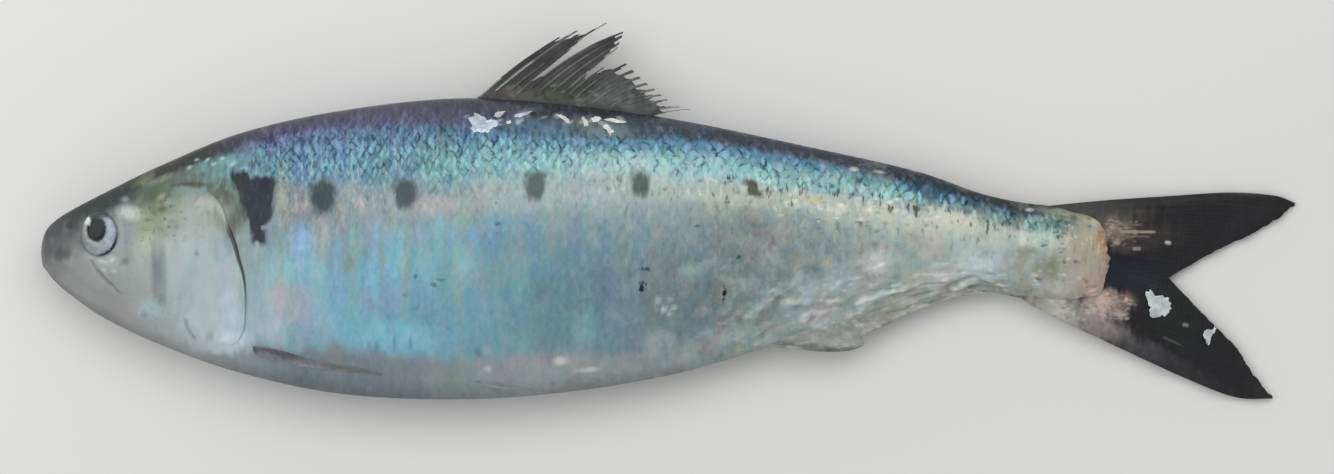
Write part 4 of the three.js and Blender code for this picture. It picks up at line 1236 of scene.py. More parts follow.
def eyeMaterial():
    # A fish's eye: silver iris under a clear wet cornea, which gives a sharp glint, with a dark round lens
    # the glint is also painted, as a highlight on the iris's upper left
    material, tree = newMaterial("wet fish eye")
    gaze = addNode(tree, "Attribute", out=1, attribute_name="gaze")  # x and y across the eye, 1 at its rim
    gaze = addNode(tree, "VectorMath", {0: gaze, 1: (1, 1, 0)}, operation="MULTIPLY")
    x, y, _ = addNode(tree, "SeparateXYZ", {0: gaze}).node.outputs
    place = addNode(tree, "TexCoord", out=3)
    fibre = addNode(tree, "TexNoise", {"Vector": place, "Scale": 1 / (0.5 * mm), "Detail": 3.0})

    def frayed(value, much):  # an edge that the iris's fibres move in and out
        middle = addNode(tree, "Math", {0: value, 1: -much / 2}, operation="ADD")
        return addNode(tree, "Math", {0: fibre, 1: much, 2: middle}, operation="MULTIPLY_ADD")

    def distance(centre, halfSizes):
        away = addNode(tree, "VectorMath", {0: gaze, 1: (*centre, 0)}, operation="SUBTRACT")
        away = addNode(tree, "VectorMath", {0: away, 1: (*halfSizes, 1)}, operation="DIVIDE")
        return addNode(tree, "VectorMath", {0: away}, out=1, operation="LENGTH")

    halfLength, halfHeight = eye["halfLength"], eye["halfHeight"]
    pupilAt = ((iris["pupilAt"] - eye["at"]) / halfLength, (iris["pupilHeight"] - eye["height"]) / halfHeight)
    pupilSize = (iris["pupilHalfLength"] / halfLength, iris["pupilHalfHeight"] / halfHeight)
    lens = frayed(distance(pupilAt, pupilSize), 0.25)
    edge = frayed(distance((0, 0), (1, 1)), 0.2)
    rimward = addNode(tree, "VectorMath", {0: gaze, 1: (0.6, -0.65, 0)}, out=1, operation="DOT_PRODUCT")
    upward = addNode(tree, "VectorMath", {0: gaze, 1: (-0.12, 1, 0)}, out=1, operation="DOT_PRODUCT")
    glint = frayed(distance(iris["glintAt"], (1, 1.25)), 0.35)
    frontward = addNode(tree, "MapRange", {0: x, 1: 0.3, 2: -0.2}, interpolation_type="SMOOTHSTEP")
    outer = addNode(tree, "MapRange", {0: edge, 1: 0.76, 2: 0.88}, interpolation_type="SMOOTHSTEP")

    colours = iris["colours"]
    colour = layOver(tree, colours["front"], x, -0.35, 0.45, colours["rear"])
    colour = layOver(tree, colour, y, -0.35, -0.8, colours["low"])
    colour = layOver(tree, colour, lens, 1.6, 1.1, colours["ring"], frontward, 0.9)
    colour = varyTone(tree, colour, fibre, -0.25, 0.2)
    for name, value, begins, full, bold, strength in (
        ("edge", edge, 0.84, 0.97, 1.0, 0.7),
        ("rim", rimward, 0.42, 0.72, outer, 1.0),
        ("pupil", lens, 1.15, 0.85, 1.0, 1.0),
        ("lid", frayed(upward, 0.3), 0.55, 0.85, 1.0, 0.92),  # a clear dusky lid lies over the top of the eye
        # the glint: a painted highlight on the iris's upper left
        ("glint", glint, 0.245, 0.045, 1.0, 1.0),
    ):
        colour = layOver(tree, colour, value, begins, full, colours[name], bold, strength)
    cornea = addNode(tree, "BsdfPrincipled", {
        "Base Color": colour, "Roughness": 0.3, "Specular IOR Level": 0.25,
        "Coat Weight": 0.3, "Coat Roughness": 0.05, "Coat IOR": 1.38,
    })
    addNode(tree, "OutputMaterial", {"Surface": cornea})
    return material


def makeEyes():
    material = eyeMaterial()
    middle = widthAt(eye["at"]) * flankShare(riseAt(eye["at"], eye["height"])) - eye["depth"] + eye["bulge"]

    def place(x, y, z, side):
        at = eye["at"] + x * eye["halfLength"]
        height = eye["height"] + y * eye["halfHeight"]
        gap = np.hypot((at - iris["pupilAt"]) / iris["pupilHalfLength"],
                       (height - iris["pupilHeight"]) / iris["pupilHalfHeight"])
        outwards = np.where(z > 0, iris["pupilRise"] * easeStep(1.25, 0.5, gap), 0)
        level = side * (middle + z * eye["depth"] + outwards)
        return inFrame(at, height, level), {"gaze": np.stack([x, y, side * z], axis=1)}

    for name, side in (("eye_left", 1), ("eye_right", -1)):
        bpy.ops.object.select_all(action="DESELECT")
        bpy.ops.mesh.primitive_uv_sphere_add(segments=96, ring_count=64, radius=1)
        piece = placePoints(f"{name}_ball", lambda x, y, z: place(x, y, z, side))
        if side < 0:
            bpy.ops.object.mode_set(mode="EDIT")
            bpy.ops.mesh.select_all(action="SELECT")
            bpy.ops.mesh.normals_make_consistent(inside=False)
            bpy.ops.object.mode_set(mode="OBJECT")
        bpy.ops.object.shade_smooth()
        finishPiece(piece, material, name)


makeEyes()
print("eyes in")

# Fins

finBuild = {
    "columnCrowding": 0.6,  # draws a fin's grid lines together at its rays
    "membrane": 0.14 * mm,
    "rayRootWidth": 0.3 * mm,
    "rayTipWidth": 0.13 * mm,
    "rayRootThickness": 0.42 * mm,
    "rayTipThickness": 0.2 * mm,
    "raysRise": 1.6,  # mm over which the rays come up out of the scaly root
    "edgeShare": 0.45,  # thickness of the skin at the first and last ray, as a share of the rest's
    "wave": 0.12,  # percent of the length by which the skin rises and sinks
}
dorsalFin = {
    "rootSink": 1.0,  # percent by which the roots lie under the line of the back
    "rays": [  # root at; tip; percent by which it bends forward at its middle
        (33.6, (41.1, 16.95), 0.3),
        (34.3, (42.5, 17.45), 0.2),
        (35.3, (44.9, 18.1), 0.3),
        (36.2, (42.9, 16.75), 0.05),
        (37.0, (46.2, 17.4), 0.75),
        (37.9, (46.1, 17.0), 0.5),
        (38.8, (45.9, 16.5), 0.3),
        (39.7, (45.75, 16.1), 0.1),
        (40.5, (44.6, 14.45), 0.3),
        (41.1, (46.4, 14.85), 0.4),
        (41.8, (47.0, 14.25), 0.42),
        (42.5, (47.5, 13.75), 0.42),
        (43.2, (48.1, 13.25), 0.42),
        (43.9, (48.7, 12.8), 0.42),
        (44.6, (49.2, 12.35), 0.4),
        (45.3, (49.7, 11.95), 0.36),
        (46.0, (50.6, 11.4), 0.3),
        (46.7, (51.5, 11.2), 0.25),
    ],
    "webShare": [0.99, 0.94, 0.86, 0.45, 0.99, 1.0, 0.98, 0.68, 0.94, 0.93, 0.9, 0.91, 0.88, 0.9, 0.88, 0.84,
                 0.7],
    "strandHalf": 0.42 * mm,
    "foot": (1.3 * mm, 1.6, 4.6),  # extra thickness, and the mm from the root between which it thins out
    "measuredFrom": None,
    "rayRelief": 1.0,
    "raysFrom": 3.2,  # mm above a root where the fleshy foot of the fin ends and the rays begin to show
    "columns": 8,
    "rows": 84,
    "base": "#323333",
    "rayColour": "#7c7e7c",
    "bold": 0.9,  # how strongly its rays and streaks show
    "marks": [(42.5, 12.3, 6.0, 0.8, 24, 0.2, "#6a6d66"), (41.5, 12.4, 2.5, 0.7, 16, 0.2, "#2c3325")],
    "patches": [
        (35.0, 11.7, 1.4, 0.6, 0, "#353d3c", 0.8),
        (37.4, 12.3, 2.4, 0.6, -4, "#544f4d", 0.85),
        (41.0, 12.7, 1.7, 0.8, 8, "#333a2c", 0.9),
        (43.0, 11.9, 4.0, 0.5, -4, "#50554a", 0.85),
        (46.4, 11.3, 2.8, 0.7, -8, "#57585b", 0.85),
        (45.6, 12.9, 1.8, 1.1, 30, "#535856", 0.75),
        (40.6, 11.5, 7.0, 0.3, -4, "#33352d", 0.6),
        (44.0, 16.0, 2.0, 0.8, 35, "#303030", 0.6),
        (38.5, 15.0, 2.6, 0.8, 38, "#262626", 0.7),
        (48.6, 12.1, 1.0, 1.2, 0, "#6a6b6a", 0.6),
    ],
    "litRays": [  # painted ray highlights: number, share of its length from and to, half width, colour, strength
        (0, 0.18, 0.4, 0.08, "#adad9f", 0.95),
        (1, 0.24, 0.6, 0.055, "#a8a9a7", 0.95),
        (1, 0.6, 0.97, 0.05, "#717271", 0.8),
        (2, 0.22, 0.5, 0.04, "#636463", 0.7),
        (2, 0.75, 0.98, 0.05, "#5f5f5f", 0.6),
        (3, 0.24, 0.55, 0.045, "#6f706f", 0.7),
        (4, 0.36, 0.72, 0.055, "#7d7d7c", 0.85),
        (5, 0.32, 0.7, 0.04, "#6b6b6a", 0.6),
        (6, 0.35, 0.7, 0.04, "#626362", 0.6),
        (7, 0.42, 0.62, 0.05, "#7b7d7b", 0.7),
        (7, 0.85, 0.98, 0.08, "#9a9d9a", 0.8),
        (8, 0.4, 0.75, 0.04, "#6f726f", 0.6),
        (9, 0.3, 0.6, 0.045, "#7b7e7b", 0.4),
        (10, 0.25, 0.55, 0.04, "#6f726f", 0.35),
        (11, 0.3, 0.5, 0.045, "#7f827f", 0.45),
        (11, 0.8, 0.97, 0.05, "#8b8e8b", 0.45),
        (12, 0.75, 0.97, 0.045, "#8b8e8b", 0.45),
        (13, 0.3, 0.5, 0.045, "#848784", 0.35),
        (13, 0.8, 0.97, 0.05, "#8b8e8b", 0.5),
        (14, 0.75, 0.97, 0.05, "#8b8e8b", 0.55),
        (15, 0.75, 0.97, 0.05, "#8b8d8a", 0.45),
        (16, 0.7, 0.97, 0.06, "#9a9895", 0.55),
        (17, 0.6, 0.97, 0.05, "#8f8d8b", 0.55),
    ],
    "strands": [  # light marks: points, half width, colour, strength
        ([(43.45, 14.0), (43.8, 14.25)], 0.12, "#d5d8d4", 0.9),
    ],
}
tailFin = {
    "rays": 10,
    "rootSpan": 7.0,  # percent of the length over which the rays of a lobe are spread
    "columns": 14,
    "rows": 120,
    "split": 0.26,  # how far a ray's branches spread, as a share of the gap between rays
    "foot": (1.0 * mm, 3.4, 10.2),
    "measuredFrom": 82.0,  # percent of the length from which distances along the tail fin count
    "rayRelief": 0.2,
    "notch": 0.004,  # roughness of the trailing margin, as a share of the ray's length
    "raysFrom": 6.5,
    "base": "#1a1a1d",
    "rayColour": "#303033",
    "bold": 0.4,
    "marks": [
        (86.0, 1.4, 1.4, 1.0, 34, 0.1, "#a1968a"),
        (86.0, 1.4, 1.4, 1.0, 20, 0.1, "#3f3731"),
        (82.6, -4.9, 2.2, 0.6, 30, 0.12, "#bdb3a8"),
        (82.6, -4.9, 2.2, 0.6, 20, 0.1, "#776c63"),
        (85.3, -4.0, 1.6, 0.8, 24, 0.12, "#c2a9a0"),
        (85.9, -4.1, 1.4, 0.7, 20, 0.1, "#654a42"),
        (85.7, -5.1, 1.0, 0.35, 12, 0.12, "#b5b0aa"),
    ],
    "lobes": {  # outer edge from root to tip, trailing margin from the tip into the fork, and inner root
        "tail_upper": {
            "edge": [(77.4, 3.3), (84.0, 3.96), (90.3, 4.4), (94.7, 4.64), (98.3, 4.36), (100.0, 3.72)],
            "trailing": [(100.0, 3.72), (97.5, 1.9), (93.1, -0.25), (89.7, -2.15)],
            "innerRoot": (82.6, -1.2),
        },
        "tail_lower": {
            "edge": [(77.0, -3.2), (79.2, -4.6), (84.8, -7.3), (91.1, -10.2), (95.1, -11.7), (98.2, -11.8)],
            "trailing": [(98.2, -11.8), (96.85, -10.3), (95.1, -7.7), (91.9, -4.45), (89.7, -2.15)],
            "innerRoot": (82.6, -0.6),
        },
    },
    "patches": [
        (83.5, 3.1, 4.5, 1.0, 0, "#4b4a47", 0.9),
        (88.0, 3.9, 8.0, 0.4, 4, "#303030", 0.8),
        (95.5, 4.6, 3.0, 0.2, -3, "#3f3f3f", 0.7),
        (87.2, 1.2, 3.2, 1.2, 0, "#342f2d", 0.85),
        (85.6, 1.7, 1.4, 1.1, 0, "#7b6f65", 0.95),
        (86.3, 0.2, 1.2, 0.5, 0, "#4f4641", 0.7),
        (85.5, 0.7, 0.35, 0.25, 0, "#a49c93", 0.8),
        (85.2, 1.9, 0.3, 0.2, 0, "#a39a90", 0.7),
        (87.2, -1.0, 2.4, 0.75, -12, "#10161f", 0.95),
        (85.3, -1.4, 1.0, 0.8, 0, "#141d28", 0.9),
        (87.0, -2.8, 2.6, 1.1, -10, "#1b232c", 0.85),
        (90.6, -1.4, 1.5, 0.9, -35, "#15161d", 0.8),
        (81.0, -4.9, 4.0, 1.6, -25, "#a9a8a1", 1.0),
        (84.6, -6.2, 2.8, 1.1, -25, "#86817f", 0.9),
        (87.9, -8.0, 3.4, 0.75, -25, "#454447", 0.9),
        (91.0, -9.7, 3.5, 0.6, -25, "#2b2b2e", 0.8),
        (84.6, -4.4, 1.6, 1.1, -20, "#b0a09a", 0.9),
        (86.0, -4.1, 0.9, 0.8, 0, "#7c6c67", 0.75),
        (84.4, -3.9, 1.2, 0.8, 0, "#b39d95", 0.9),
        (85.6, -5.0, 0.9, 0.35, -15, "#a39c94", 0.8),
        (90.4, -5.6, 2.4, 1.6, -50, "#181f1c", 0.8),
        (97.2, -11.2, 1.2, 0.7, -20, "#23271f", 0.8),
        (96.3, 2.4, 2.0, 1.0, 25, "#1f1f22", 0.6),
    ],
    "strands": [
        ([(85.9, 1.5), (88.5, 1.5)], 0.09, "#a2988d", 0.8),
        ([(85.7, 1.13), (88.1, 1.13)], 0.07, "#7a6c63", 0.7),
        ([(86.2, 2.07), (87.5, 2.1)], 0.07, "#7a716a", 0.6),
        ([(84.9, 2.5), (86.3, 2.0)], 0.06, "#8a8078", 0.6),
        ([(86.9, 0.16), (87.3, 0.16)], 0.12, "#9d938b", 0.7),
        ([(89.5, 0.66), (89.7, 0.62)], 0.12, "#b5b0ad", 0.9),
        ([(90.9, -5.9), (91.1, -5.95)], 0.12, "#90908b", 0.8),
        ([(89.3, -6.9), (90.6, -7.5)], 0.07, "#4c534c", 0.8),
        ([(85.2, -3.9), (87.0, -4.3)], 0.08, "#8f7f7d", 0.7),
        ([(85.0, -3.4), (86.6, -3.7)], 0.06, "#8a6f66", 0.6),
    ],
}
analFin = {
    "margin": [(57.7, -7.3), (59.4, -7.7), (61.8, -8.0), (64.0, -7.96), (65.3, -7.45), (65.15, -6.85),
               (65.7, -6.5), (67.0, -5.95), (68.6, -5.1), (70.5, -4.4), (72.9, -3.65), (75.3, -3.4)],
    "rootSink": 0.9,
    "foot": (1.5 * mm, 1.3, 4.2),
    "measuredFrom": None,
    "rayRelief": 0.3,
    "frontLean": 4.2,
    "rearLean": 2.4,
    "rays": 17,
    "rootSpan": 18.0,
    "columns": 8,
    "rows": 40,
    "raysFrom": 0.5,
    "base": "#979b96",
    "rayColour": "#abada9",
    "bold": 0.35,
    "marks": [(68.0, -5.0, 6.0, 1.6, 40, 0.28, "#c3c5bc"), (62.0, -7.3, 3.5, 0.5, 14, 0.28, "#adafab")],
    "patches": [
        (60.5, -7.3, 2.6, 0.8, 0, "#979a97", 0.85),
        (62.8, -7.8, 1.6, 0.3, 0, "#82857f", 0.8),
        (64.8, -7.6, 0.8, 0.35, 0, "#666864", 0.85),
        (69.5, -4.7, 3.0, 0.9, 22, "#a8aaa0", 0.9),
        (73.6, -3.5, 3.6, 0.7, 8, "#b0b2a9", 0.9),
        (66.4, -6.1, 1.4, 0.4, 22, "#999b94", 0.8),
        (60.2, -7.55, 2.6, 0.32, -6, "#6c6f6c", 0.8),
        (63.2, -7.85, 1.8, 0.32, 0, "#5f615e", 0.8),
        (66.6, -6.25, 1.3, 0.28, 28, "#6f716c", 0.75),
        (69.2, -5.05, 1.7, 0.28, 26, "#72746e", 0.7),
        (72.4, -3.95, 2.0, 0.25, 14, "#7b7d77", 0.65),
    ],
    "strands": [
        ([(59.9, -7.4), (61.4, -7.15)], 0.1, "#a5a8a4", 0.8),
        ([(65.3, -6.4), (65.9, -6.3)], 0.1, "#aaa8a8", 0.7),
        ([(66.3, -5.7), (69.0, -4.5)], 0.07, "#97968f", 0.6),
    ],
}


def paintFin(fin, at, height):  # linear colours: the fin's base, its soft patches and then its light strands
    base = np.array(linear(fin["base"]))
    soft = paintPatches(fin["patches"] + strewn(fin["marks"], 17), at, height)
    colours = np.tile(base, (len(at), 1))
    colours[:, :3] += (soft[:, :3] - colours[:, :3]) * soft[:, 3:]
    # the strands hold the dorsal fin's painted ray highlights
    for points, halfWidth, colour, strength in fin["strands"]:
        cover = strength * easeStep(halfWidth * 1.8, halfWidth * 0.5, lineDistance(at, height, points))
        colours[:, :3] += (np.array(linear(colour)[:3]) - colours[:, :3]) * cover[:, None]
    return colours


def finMaterial(name, fin):
    # Fin of a sea fish: dark clear skin stretched on soft bony rays, with thin wet painted highlights along
    # them
    material, tree = newMaterial(name)
    fan = addNode(tree, "Attribute", out=1, attribute_name="fan")
    gap, along, ridge = addNode(tree, "SeparateXYZ", {0: fan}).node.outputs  # along is in mm from the root
    # streaks that run with the rays, a tenth of a gap wide and about 5 mm long
    stretched = addNode(tree, "CombineXYZ", {0: gap, 1: along})
    stretched = addNode(tree, "VectorMath", {0: stretched, 1: (7.0, 0.2, 1.0)}, operation="MULTIPLY")
    streak = addNode(tree, "TexNoise", {"Vector": stretched, "Scale": 1.0, "Detail": 3.0, "Roughness": 0.6})
    fine = addNode(tree, "VectorMath", {0: stretched, 1: (1.7, 0.9, 1.0)}, operation="MULTIPLY")
    thread = addNode(tree, "TexNoise", {"Vector": fine, "Scale": 1.0, "Detail": 1.0})
    place = addNode(tree, "TexCoord", out=3)
    cloud = addNode(tree, "TexNoise", {"Vector": place, "Scale": 1 / (3 * mm), "Detail": 3.0})
    mottled = addNode(tree, "TexNoise", {"Vector": place, "Scale": 1 / (0.7 * mm), "Detail": 3.0,
                                         "Roughness": 0.6})
    raysTo = fin["raysFrom"] + finBuild["raysRise"]
    rayed = addNode(tree, "MapRange", {0: along, 1: fin["raysFrom"], 2: raysTo, 4: fin["bold"]},
                    interpolation_type="SMOOTHSTEP")
    colour = addNode(tree, "Attribute", attribute_name="paint")
    colour = varyTone(tree, colour, streak, -0.22, 0.26, rayed)
    colour = varyTone(tree, colour, cloud, -0.14, 0.14)
    colour = varyTone(tree, colour, mottled, -0.18, 0.2)
    shown = addNode(tree, "MapRange", {0: cloud, 1: 0.4, 2: 0.6, 3: 0.3})
    shown = addNode(tree, "Math", {0: shown, 1: rayed}, operation="MULTIPLY")
    # painted highlights along the rays and their fine threads
    colour = layOver(tree, colour, ridge, 0.45, 0.95, fin["rayColour"], shown, 0.4)
    colour = layOver(tree, colour, thread, 0.58, 0.7, fin["rayColour"], shown, 0.45)
    # joints of the rays, one every 0.6 mm
    joint = addNode(tree, "Math", {0: along, 1: 2 * math.pi / 0.6}, operation="MULTIPLY")
    joint = addNode(tree, "Math", {0: joint}, operation="SINE")
    joint = addNode(tree, "Math", {0: joint, 1: ridge}, operation="MULTIPLY")
    height = addNode(tree, "Math", {0: joint, 1: 0.3, 2: streak}, operation="MULTIPLY_ADD")
    bump = addNode(tree, "Bump", {"Height": height, "Strength": 0.5, "Distance": 0.05 * mm})
    rough = addNode(tree, "MapRange", {0: streak, **noiseSpan, 3: 0.34, 4: 0.52})
    membrane = addNode(tree, "BsdfPrincipled", {
        "Base Color": colour, "Roughness": rough, "Normal": bump,
        "Coat Weight": 0.1, "Coat Roughness": 0.15, "Specular IOR Level": 0.2,
    })
    addNode(tree, "OutputMaterial", {"Surface": membrane})
    return material


def withoutPinches(kept):  # drops points where two cells touch only at a corner, and points with no cell
    kept = kept.copy()
    for _ in range(4):
        cells = kept[1:, 1:] & kept[1:, :-1] & kept[:-1, 1:] & kept[:-1, :-1]
        cells = np.pad(cells, 1)
        below, above = (cells[:-1, :-1], cells[:-1, 1:]), (cells[1:, :-1], cells[1:, 1:])
        rising = below[0] & above[1] & ~below[1] & ~above[0]
        falling = below[1] & above[0] & ~below[0] & ~above[1]
        bare = ~(below[0] | below[1] | above[0] | above[1])
        kept &= ~rising & ~falling & ~bare
    return kept


def addFin(name, fin, gaps, shape, material):
    # shape(r, v) gives at, height, the distance to the nearest ray in metres, and whether the fin is there;
    # r counts the gaps between rays, and v goes from root to tip
    kept, thickness = None, None
    across, rows = gaps * fin["columns"], fin["rows"]

    def place(u, v):
        nonlocal kept, thickness
        footThickness, footFrom, footTo = fin["foot"]
        r = u * gaps
        r = r - finBuild["columnCrowding"] * np.sin(2 * math.pi * r) / (2 * math.pi)
        at, height, toRay, kept = shape(r, v)
        rootAt, rootHeight, _, _ = shape(r, 0 * v)
        along = np.hypot(at - rootAt, height - rootHeight) * pct / mm
        if fin["measuredFrom"]:
            along = np.maximum(0, at - fin["measuredFrom"]) * pct / mm
        width = finBuild["rayRootWidth"] + (finBuild["rayTipWidth"] - finBuild["rayRootWidth"]) * v
        rayed = easeStep(fin["raysFrom"], fin["raysFrom"] + finBuild["raysRise"], along)
        ridge = np.exp(-((toRay / width) ** 2)) * rayed
        root, tip = finBuild["rayRootThickness"], finBuild["rayTipThickness"]
        rayThickness = root + v * (tip - root)
        thickness = finBuild["membrane"] + (rayThickness - finBuild["membrane"]) * ridge * fin["rayRelief"]
        thin = finBuild["edgeShare"]
        thickness *= thin + (1 - thin) * easeStep(0, 0.02, u) * easeStep(1, 0.98, u)
        thickness += footThickness * easeStep(footTo, footFrom, along) * (0.3 + 0.7 * easeStep(0, 0.12, u))
        wave = finBuild["wave"] * np.sin(at * 1.9 + height * 1.1) * easeStep(0.1, 0.6, v)
        point = inFrame(at, height, wave)
        point[:, 2] = np.maximum(point[:, 2], thickness / 2)
        fan = np.stack([r, along, ridge], axis=1)
        return point, {"paint": paintFin(fin, at, height), "fan": fan}

    piece = addGrid(name, across, rows, place)
    kept = withoutPinches(kept.reshape(rows + 1, across + 1)).reshape(-1)
    group = piece.vertex_groups.new(name="thickness")
    for i, value in enumerate(thickness / thickness.max()):
        group.add([i], float(value), "REPLACE")
    bpy.ops.object.mode_set(mode="EDIT")
    bpy.ops.mesh.select_mode(type="VERT")
    bpy.ops.mesh.select_all(action="DESELECT")
    bpy.ops.object.mode_set(mode="OBJECT")
    piece.data.vertices.foreach_set("select", ~kept)
    bpy.ops.object.mode_set(mode="EDIT")
    bpy.ops.mesh.delete(type="VERT")
    bpy.ops.object.mode_set(mode="OBJECT")
    solidify = piece.modifiers.new("skin", "SOLIDIFY")
    solidify.thickness = thickness.max()
    solidify.offset = 0
    solidify.vertex_group = "thickness"
    applyModifiers(piece)
    bpy.ops.object.shade_smooth()
    finishPiece(piece, material, "fish")


def makeDorsalFin():
    rays = dorsalFin["rays"]
    gaps = len(rays) - 1

    def rayPoint(i, v):
        table = np.array([[a, backAt(a) - dorsalFin["rootSink"], *tip, bend] for a, tip, bend in rays])
        rootAt, rootHeight, tipAt, tipHeight, bend = table[i].T
        run, climb = tipAt - rootAt, tipHeight - rootHeight
        bow = 4 * v * (1 - v) * bend / np.hypot(run, climb)
        return rootAt + run * v - climb * bow, rootHeight + climb * v + run * bow

    def shape(r, v):
        first = np.minimum(np.floor(r).astype(int), gaps - 1)
        share = r - first
        firstAt, firstHeight = rayPoint(first, v)
        nextAt, nextHeight = rayPoint(first + 1, v)
        at = firstAt + (nextAt - firstAt) * share
        height = firstHeight + (nextHeight - firstHeight) * share
        gap = np.hypot(nextAt - firstAt, nextHeight - firstHeight) * pct
        toRay = np.minimum(share, 1 - share) * gap
        web = np.array(dorsalFin["webShare"])[first] + 0.1 * (mottle(r * 6, v * 0, 21) - 0.5)
        web -= 0.05 * np.sin(share * math.pi)
        strand = dorsalFin["strandHalf"] * (1.1 - 0.5 * v)
        return at, height, toRay, (v <= web) | (toRay < strand)

    # painted highlights along the rays that stand out
    lit = []
    for number, low, high, halfWidth, colour, strength in dorsalFin["litRays"]:
        points = np.stack(rayPoint(np.full(9, number), np.linspace(low, high, 9)), axis=1)
        lit.append(([tuple(point) for point in points], halfWidth, colour, strength))
    fin = {**dorsalFin, "strands": lit + dorsalFin["strands"]}
    material = finMaterial("wet dark fin skin, torn", dorsalFin)
    addFin("dorsal_fin", fin, gaps, shape, material)


def coonsPoint(edges, u, v):  # a smooth sheet inside four lines: first and last along v, root and tip along u
    first, last, root, tip = edges
    corners = [alongLine(line, np.array([share]))[:, :1] for line in (first, last) for share in (0.0, 1.0)]
    sheet = (1 - u) * alongLine(first, v) + u * alongLine(last, v) + (1 - v) * alongLine(root, u)
    sheet = sheet + v * alongLine(tip, u)
    sheet = sheet - (1 - u) * (1 - v) * corners[0] - (1 - u) * v * corners[1]
    return sheet - u * (1 - v) * corners[2] - u * v * corners[3]


def branching(r, v):  # gaps to the nearest branch; each ray splits in two, and again nearer the margin
    toRay = np.abs(r - np.round(r))
    toBranch = np.abs(toRay - tailFin["split"] * easeStep(0.25, 0.8, v))
    return np.abs(toBranch - 0.5 * tailFin["split"] * easeStep(0.6, 1.05, v))


def makeTailFin():
    material = finMaterial("wet dark tail fin skin", tailFin)
    for name, lobe in tailFin["lobes"].items():
        edge, trailing, inner = lobe["edge"], lobe["trailing"], lobe["innerRoot"]
        edges = (edge, [inner, trailing[-1]], [edge[0], inner], trailing)

        def shape(r, v):
            u = r / tailFin["rays"]
            short = 1 - tailFin["notch"] * (2 * mottle(r * 4, r * 0, 31) + mottle(r * 11, r * 0, 32))
            at, height = coonsPoint(edges, u, v * short)
            gap = tailFin["rootSpan"] * pct / tailFin["rays"]
            return at, height, branching(r, v) * gap, np.ones(len(u), bool)

        addFin(name, tailFin, tailFin["rays"], shape, material)


def makeAnalFin():
    margin = analFin["margin"]

    def shape(r, v):
        u = r / analFin["rays"]
        tipAt, tipHeight = alongLine(margin, u)
        rootAt = tipAt - (analFin["frontLean"] + (analFin["rearLean"] - analFin["frontLean"]) * u)
        rootHeight = bellyAt(rootAt) + analFin["rootSink"]
        at = rootAt + (tipAt - rootAt) * v
        height = rootHeight + (tipHeight - rootHeight) * v
        gap = analFin["rootSpan"] * pct / analFin["rays"]
        return at, height, np.abs(r - np.round(r)) * gap, np.ones(len(u), bool)

    material = finMaterial("wet grey fin skin", analFin)
    addFin("anal_fin", analFin, analFin["rays"], shape, material)


foldedBuild = {"across": 56, "along": 110, "thickness": 0.4 * mm, "sink": 0.15 * mm}
foldedFins = {  # upper line and lower line of each, from root to tip, and how many rays show
    "pectoral_fin": {
        "upper": [(16.4, -7.4), (18.2, -7.6), (20.5, -8.2), (22.1, -8.7), (25.2, -9.2), (27.6, -9.8)],
        "lower": [(16.5, -8.4), (19.0, -9.1), (22.2, -9.6), (25.2, -9.8), (27.6, -9.9)],
        "rays": 8,
        "step": 0.3 * mm,
        "marks": [],
        "base": "#7a7e84",
        "rayColour": "#989da2",
        "raysFrom": 0.0,
        "bold": 0.9,
        "patches": [
            (18.8, -8.9, 2.2, 0.35, -8, "#8a898f", 0.7),
            (17.3, -7.75, 0.9, 0.4, 0, "#43585b", 1.0),
            (20.0, -8.25, 2.6, 0.34, -14, "#55535d", 1.0),
            (24.0, -9.15, 1.8, 0.28, -8, "#5b5f58", 0.9),
            (26.5, -9.6, 1.2, 0.15, -12, "#6b7070", 0.8),
        ],
        "strands": [
            ([(17.5, -7.65), (19.4, -7.95), (22.0, -8.72)], 0.07, "#474a50", 0.6),
            ([(18.6, -8.75), (22.0, -9.2)], 0.05, "#90949a", 0.5),
        ],
    },
    "pelvic_fin": {
        "upper": [(34.2, -10.2), (36.5, -10.5), (39.2, -11.0)],
        "lower": [(34.5, -10.75), (36.4, -11.05), (39.2, -11.05)],
        "rays": 6,
        "step": 0.2 * mm,
        "marks": [],
        "base": "#8f9598",
        "rayColour": "#9fa4a7",
        "raysFrom": 0.0,
        "bold": 0.9,
        "patches": [(35.2, -10.6, 0.8, 0.4, 0, "#878c8e", 0.6)],
        "strands": [([(34.5, -10.3), (36.6, -10.6), (39.0, -11.0)], 0.06, "#74797b", 0.4)],
    },
}


def makeFoldedFins():
    for name, fin in foldedFins.items():
        material = finMaterial(f"wet folded {name.replace('_', ' ')}", fin)

        def place(u, v, side):
            upper, lower = alongLine(fin["upper"], v), alongLine(fin["lower"], v)
            at, height = upper + (lower - upper) * u
            ridge = 0.5 - 0.5 * np.cos(2 * math.pi * fin["rays"] * u)
            edge = easeStep(0, 0.08, u) * easeStep(1, 0.5, u) * easeStep(0, 0.12, v) * easeStep(1, 0.94, v)
            taper = 1 - 0.55 * v
            sink = foldedBuild["sink"]
            lift = (fin["step"] * taper * (0.72 + 0.28 * ridge) + sink) * edge - sink
            point = ontoFlank(at, height, lift, side)
            point[:, 2] = np.maximum(point[:, 2], clearance)
            fan = np.stack([fin["rays"] * u, (at - at.min()) * pct / mm, ridge], axis=1)
            return point, {"paint": paintFin(fin, at, height), "fan": fan}

        for suffix, side in (("left", 1), ("right", -1)):
            piece = addGrid(f"{name}_{suffix}", foldedBuild["across"], foldedBuild["along"],
                            lambda u, v: place(u, v, side))
            closeSheet(piece, side < 0, foldedBuild["thickness"])
            finishPiece(piece, material, "fish")


makeDorsalFin()
makeTailFin()
makeAnalFin()
makeFoldedFins()
print("fins on")

# Loose scales: wet silver flakes rubbed up along the back, and two stuck on the tail

